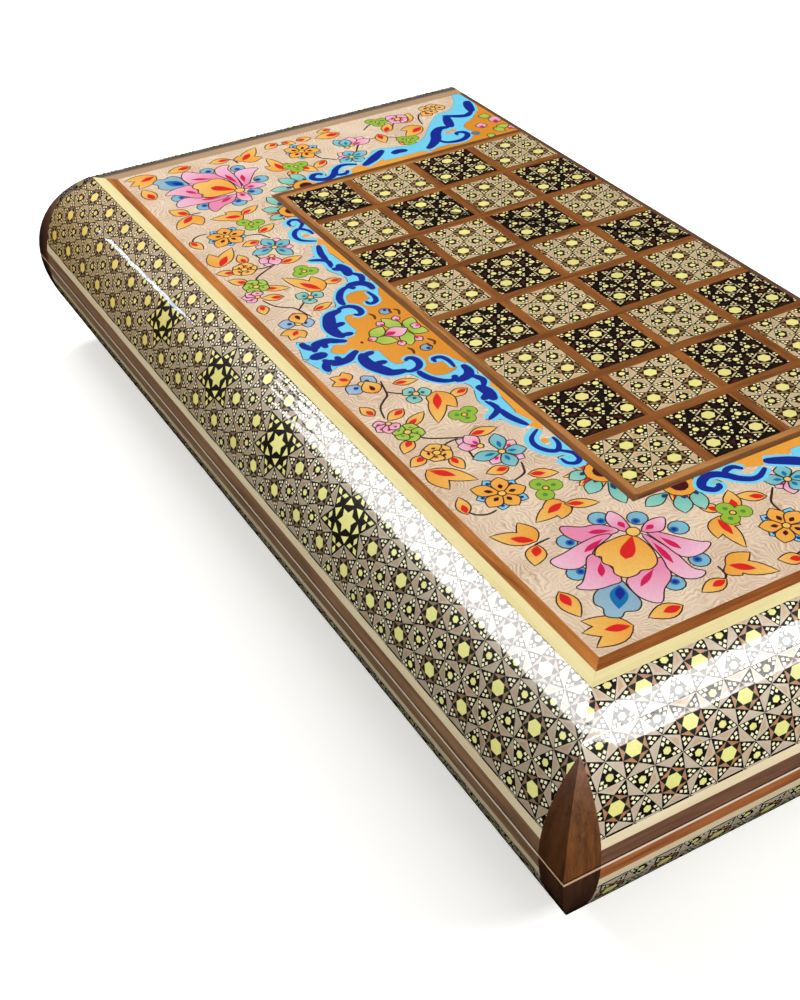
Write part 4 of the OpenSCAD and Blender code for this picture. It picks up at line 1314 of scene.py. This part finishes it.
# Floor, lights and camera, in metres. The floor lies a hair under the board.
FLOOR_HALF, FLOOR_Z = 8.0, -0.0003
floor_corners = [(x * FLOOR_HALF, y * FLOOR_HALF, FLOOR_Z) for x, y in ((-1, -1), (1, -1), (1, 1), (-1, 1))]
floor_mesh = bpy.data.meshes.new("floor")
floor_mesh.from_pydata(floor_corners, [], [(0, 1, 2, 3)])
floor = bpy.data.objects.new("floor", floor_mesh)
bpy.context.scene.collection.objects.link(floor)
pale = bpy.data.materials.new("pale_floor")
pale.use_nodes = True
pale_shader = pale.node_tree.nodes["Principled BSDF"].inputs
for socket, value in (("Base Color", (0.98, 0.98, 0.98, 1)), ("Emission Color", (1, 1, 1, 1)),
                      ("Emission Strength", 0.33), ("Roughness", 0.9), ("Specular IOR Level", 0.1)):
    pale_shader[socket].default_value = value
floor_mesh.materials.append(pale)
floor.visible_glossy = floor.visible_diffuse = False

# The sky is nearly white to the camera, brighter above than below, and isn't mirrored in the lacquer
world = bpy.data.worlds.new("studio")
world.use_nodes = True
sky = world.node_tree
height = axes(sky, add(sky, "ShaderNodeTexCoord").outputs["Generated"])[2]
glow = ranged(sky, height, -0.1, 0.1, 0.34, 0.43)
seen = add(sky, "ShaderNodeLightPath").outputs["Is Camera Ray"]
sky.links.new(calc(sky, "MAXIMUM", glow, seen), sky.nodes["Background"].inputs[1])
sky.nodes["Background"].inputs[0].default_value = (1.0, 0.985, 0.95, 1)
world.cycles_visibility.glossy = False
bpy.context.scene.world = world


def panel_light(name, corner, across, up, radiance, kind, tint=(1, 1, 1)):
    """A rectangular light, given by a corner and two sides in metres and its radiance.

    It shines towards the cross product of across and up. A glossy one is only seen mirrored in the lacquer,
    and a diffuse one only lights the colours.
    """
    across, up = Vector(across), Vector(up)
    light = bpy.data.lights.new(name, "AREA")
    light.shape = "RECTANGLE"
    light.size, light.size_y = across.length, up.length
    light.energy = radiance * math.pi * across.length * up.length
    light.color = tint
    made = bpy.data.objects.new(name, light)
    away = across.cross(up).normalized()
    turn = Matrix((across.normalized(), -up.normalized(), -away)).transposed()
    made.matrix_world = Matrix.Translation(Vector(corner) + (across + up) / 2) @ turn.to_4x4()
    made.visible_glossy, made.visible_diffuse = kind == "glossy", kind == "diffuse"
    made.visible_camera = False
    bpy.context.scene.collection.objects.link(made)


# Both softboxes have slanted ends, so each is built up from panels. Radiances of the front one, of its
# fainter part and of the end one:
FRONT_GLOW, FAINT_GLOW, END_GLOW = 12.5, 10.4, 15.0
# Front: (low, high, far end, fainter part's far end)
FRONT_PANELS = (
    (0.70, 0.9, 0.99, 1.30), (0.9, 1.1, 1.15, 1.50), (1.1, 1.35, 1.32, 1.70), (1.35, 1.6, 1.55, 1.95),
    (1.6, 2.0, 1.85, 2.30))
for k, (low, high, far, faint) in enumerate(FRONT_PANELS):
    up = (0, 0, high - low)
    panel_light(f"front_softbox_{k}", (-0.3, -1.0, low), (0.3 - far, 0, 0), up, FRONT_GLOW, "glossy")
    panel_light(f"front_softbox_faint_{k}", (-far, -1.0, low), (far - faint, 0, 0), up, FAINT_GLOW, "glossy")
# End: (low, high, near end)
for k, (low, high, near) in enumerate(((0.42, 0.65, 0.33), (0.65, 0.85, 0.37), (0.85, 1.06, 0.42))):
    up = (0, 0, high - low)
    panel_light(f"end_softbox_{k}", (1.0, 1.9, low), (0, near - 1.9, 0), up, END_GLOW, "glossy")
# Fills: name, corner, across, up and radiance
FILLS = (
    ("front_fill", (-0.3, -1.0, 0.70), (-0.95, 0, 0), (0, 0, 0.85), 9.4),
    ("end_fill", (1.0, 1.5, 0.45), (0, -1.1, 0), (0, 0, 0.67), 9.6),
    ("low_fill", (1.3, 0.8, 0.02), (0, -1.6, 0), (0, 0, 0.5), 1.2),
    ("far_fill", (-1.3, 0.6, 0.9), (0.6, 0, 0), (0, -0.9, 0), 8.0),
)
for fill in FILLS:
    panel_light(*fill, "diffuse")
# The thin bluish highlight along the far part of the front
STRIP_BLUE = (0.72, 0.87, 1.0)
panel_light("strip_light", (-1.53, -1.0, 0.545), (-0.27, 0, -0.09), (-0.027, 0, 0.08), 11.0, "glossy",
            STRIP_BLUE)

bpy.context.scene.view_settings.view_transform = "Standard"
camera_data = bpy.data.cameras.new("camera")
camera_data.sensor_width, camera_data.lens = 36.0, 54.0
camera_data.shift_x, camera_data.shift_y = 0.0063, -0.001
camera = bpy.data.objects.new("camera", camera_data)
azimuth, elevation, roll = (math.radians(a) for a in (61.77, 36.85, -2.16))
level = math.cos(elevation)
forward = Vector((-math.sin(azimuth) * level, math.cos(azimuth) * level, -math.sin(elevation)))
camera.rotation_mode = "QUATERNION"
camera.location = (0.4921, -0.3101, 0.4261)
camera.rotation_quaternion = forward.to_track_quat("-Z", "Y") @ Matrix.Rotation(roll, 3, "Z").to_quaternion()
bpy.context.scene.collection.objects.link(camera)
bpy.context.scene.camera = camera
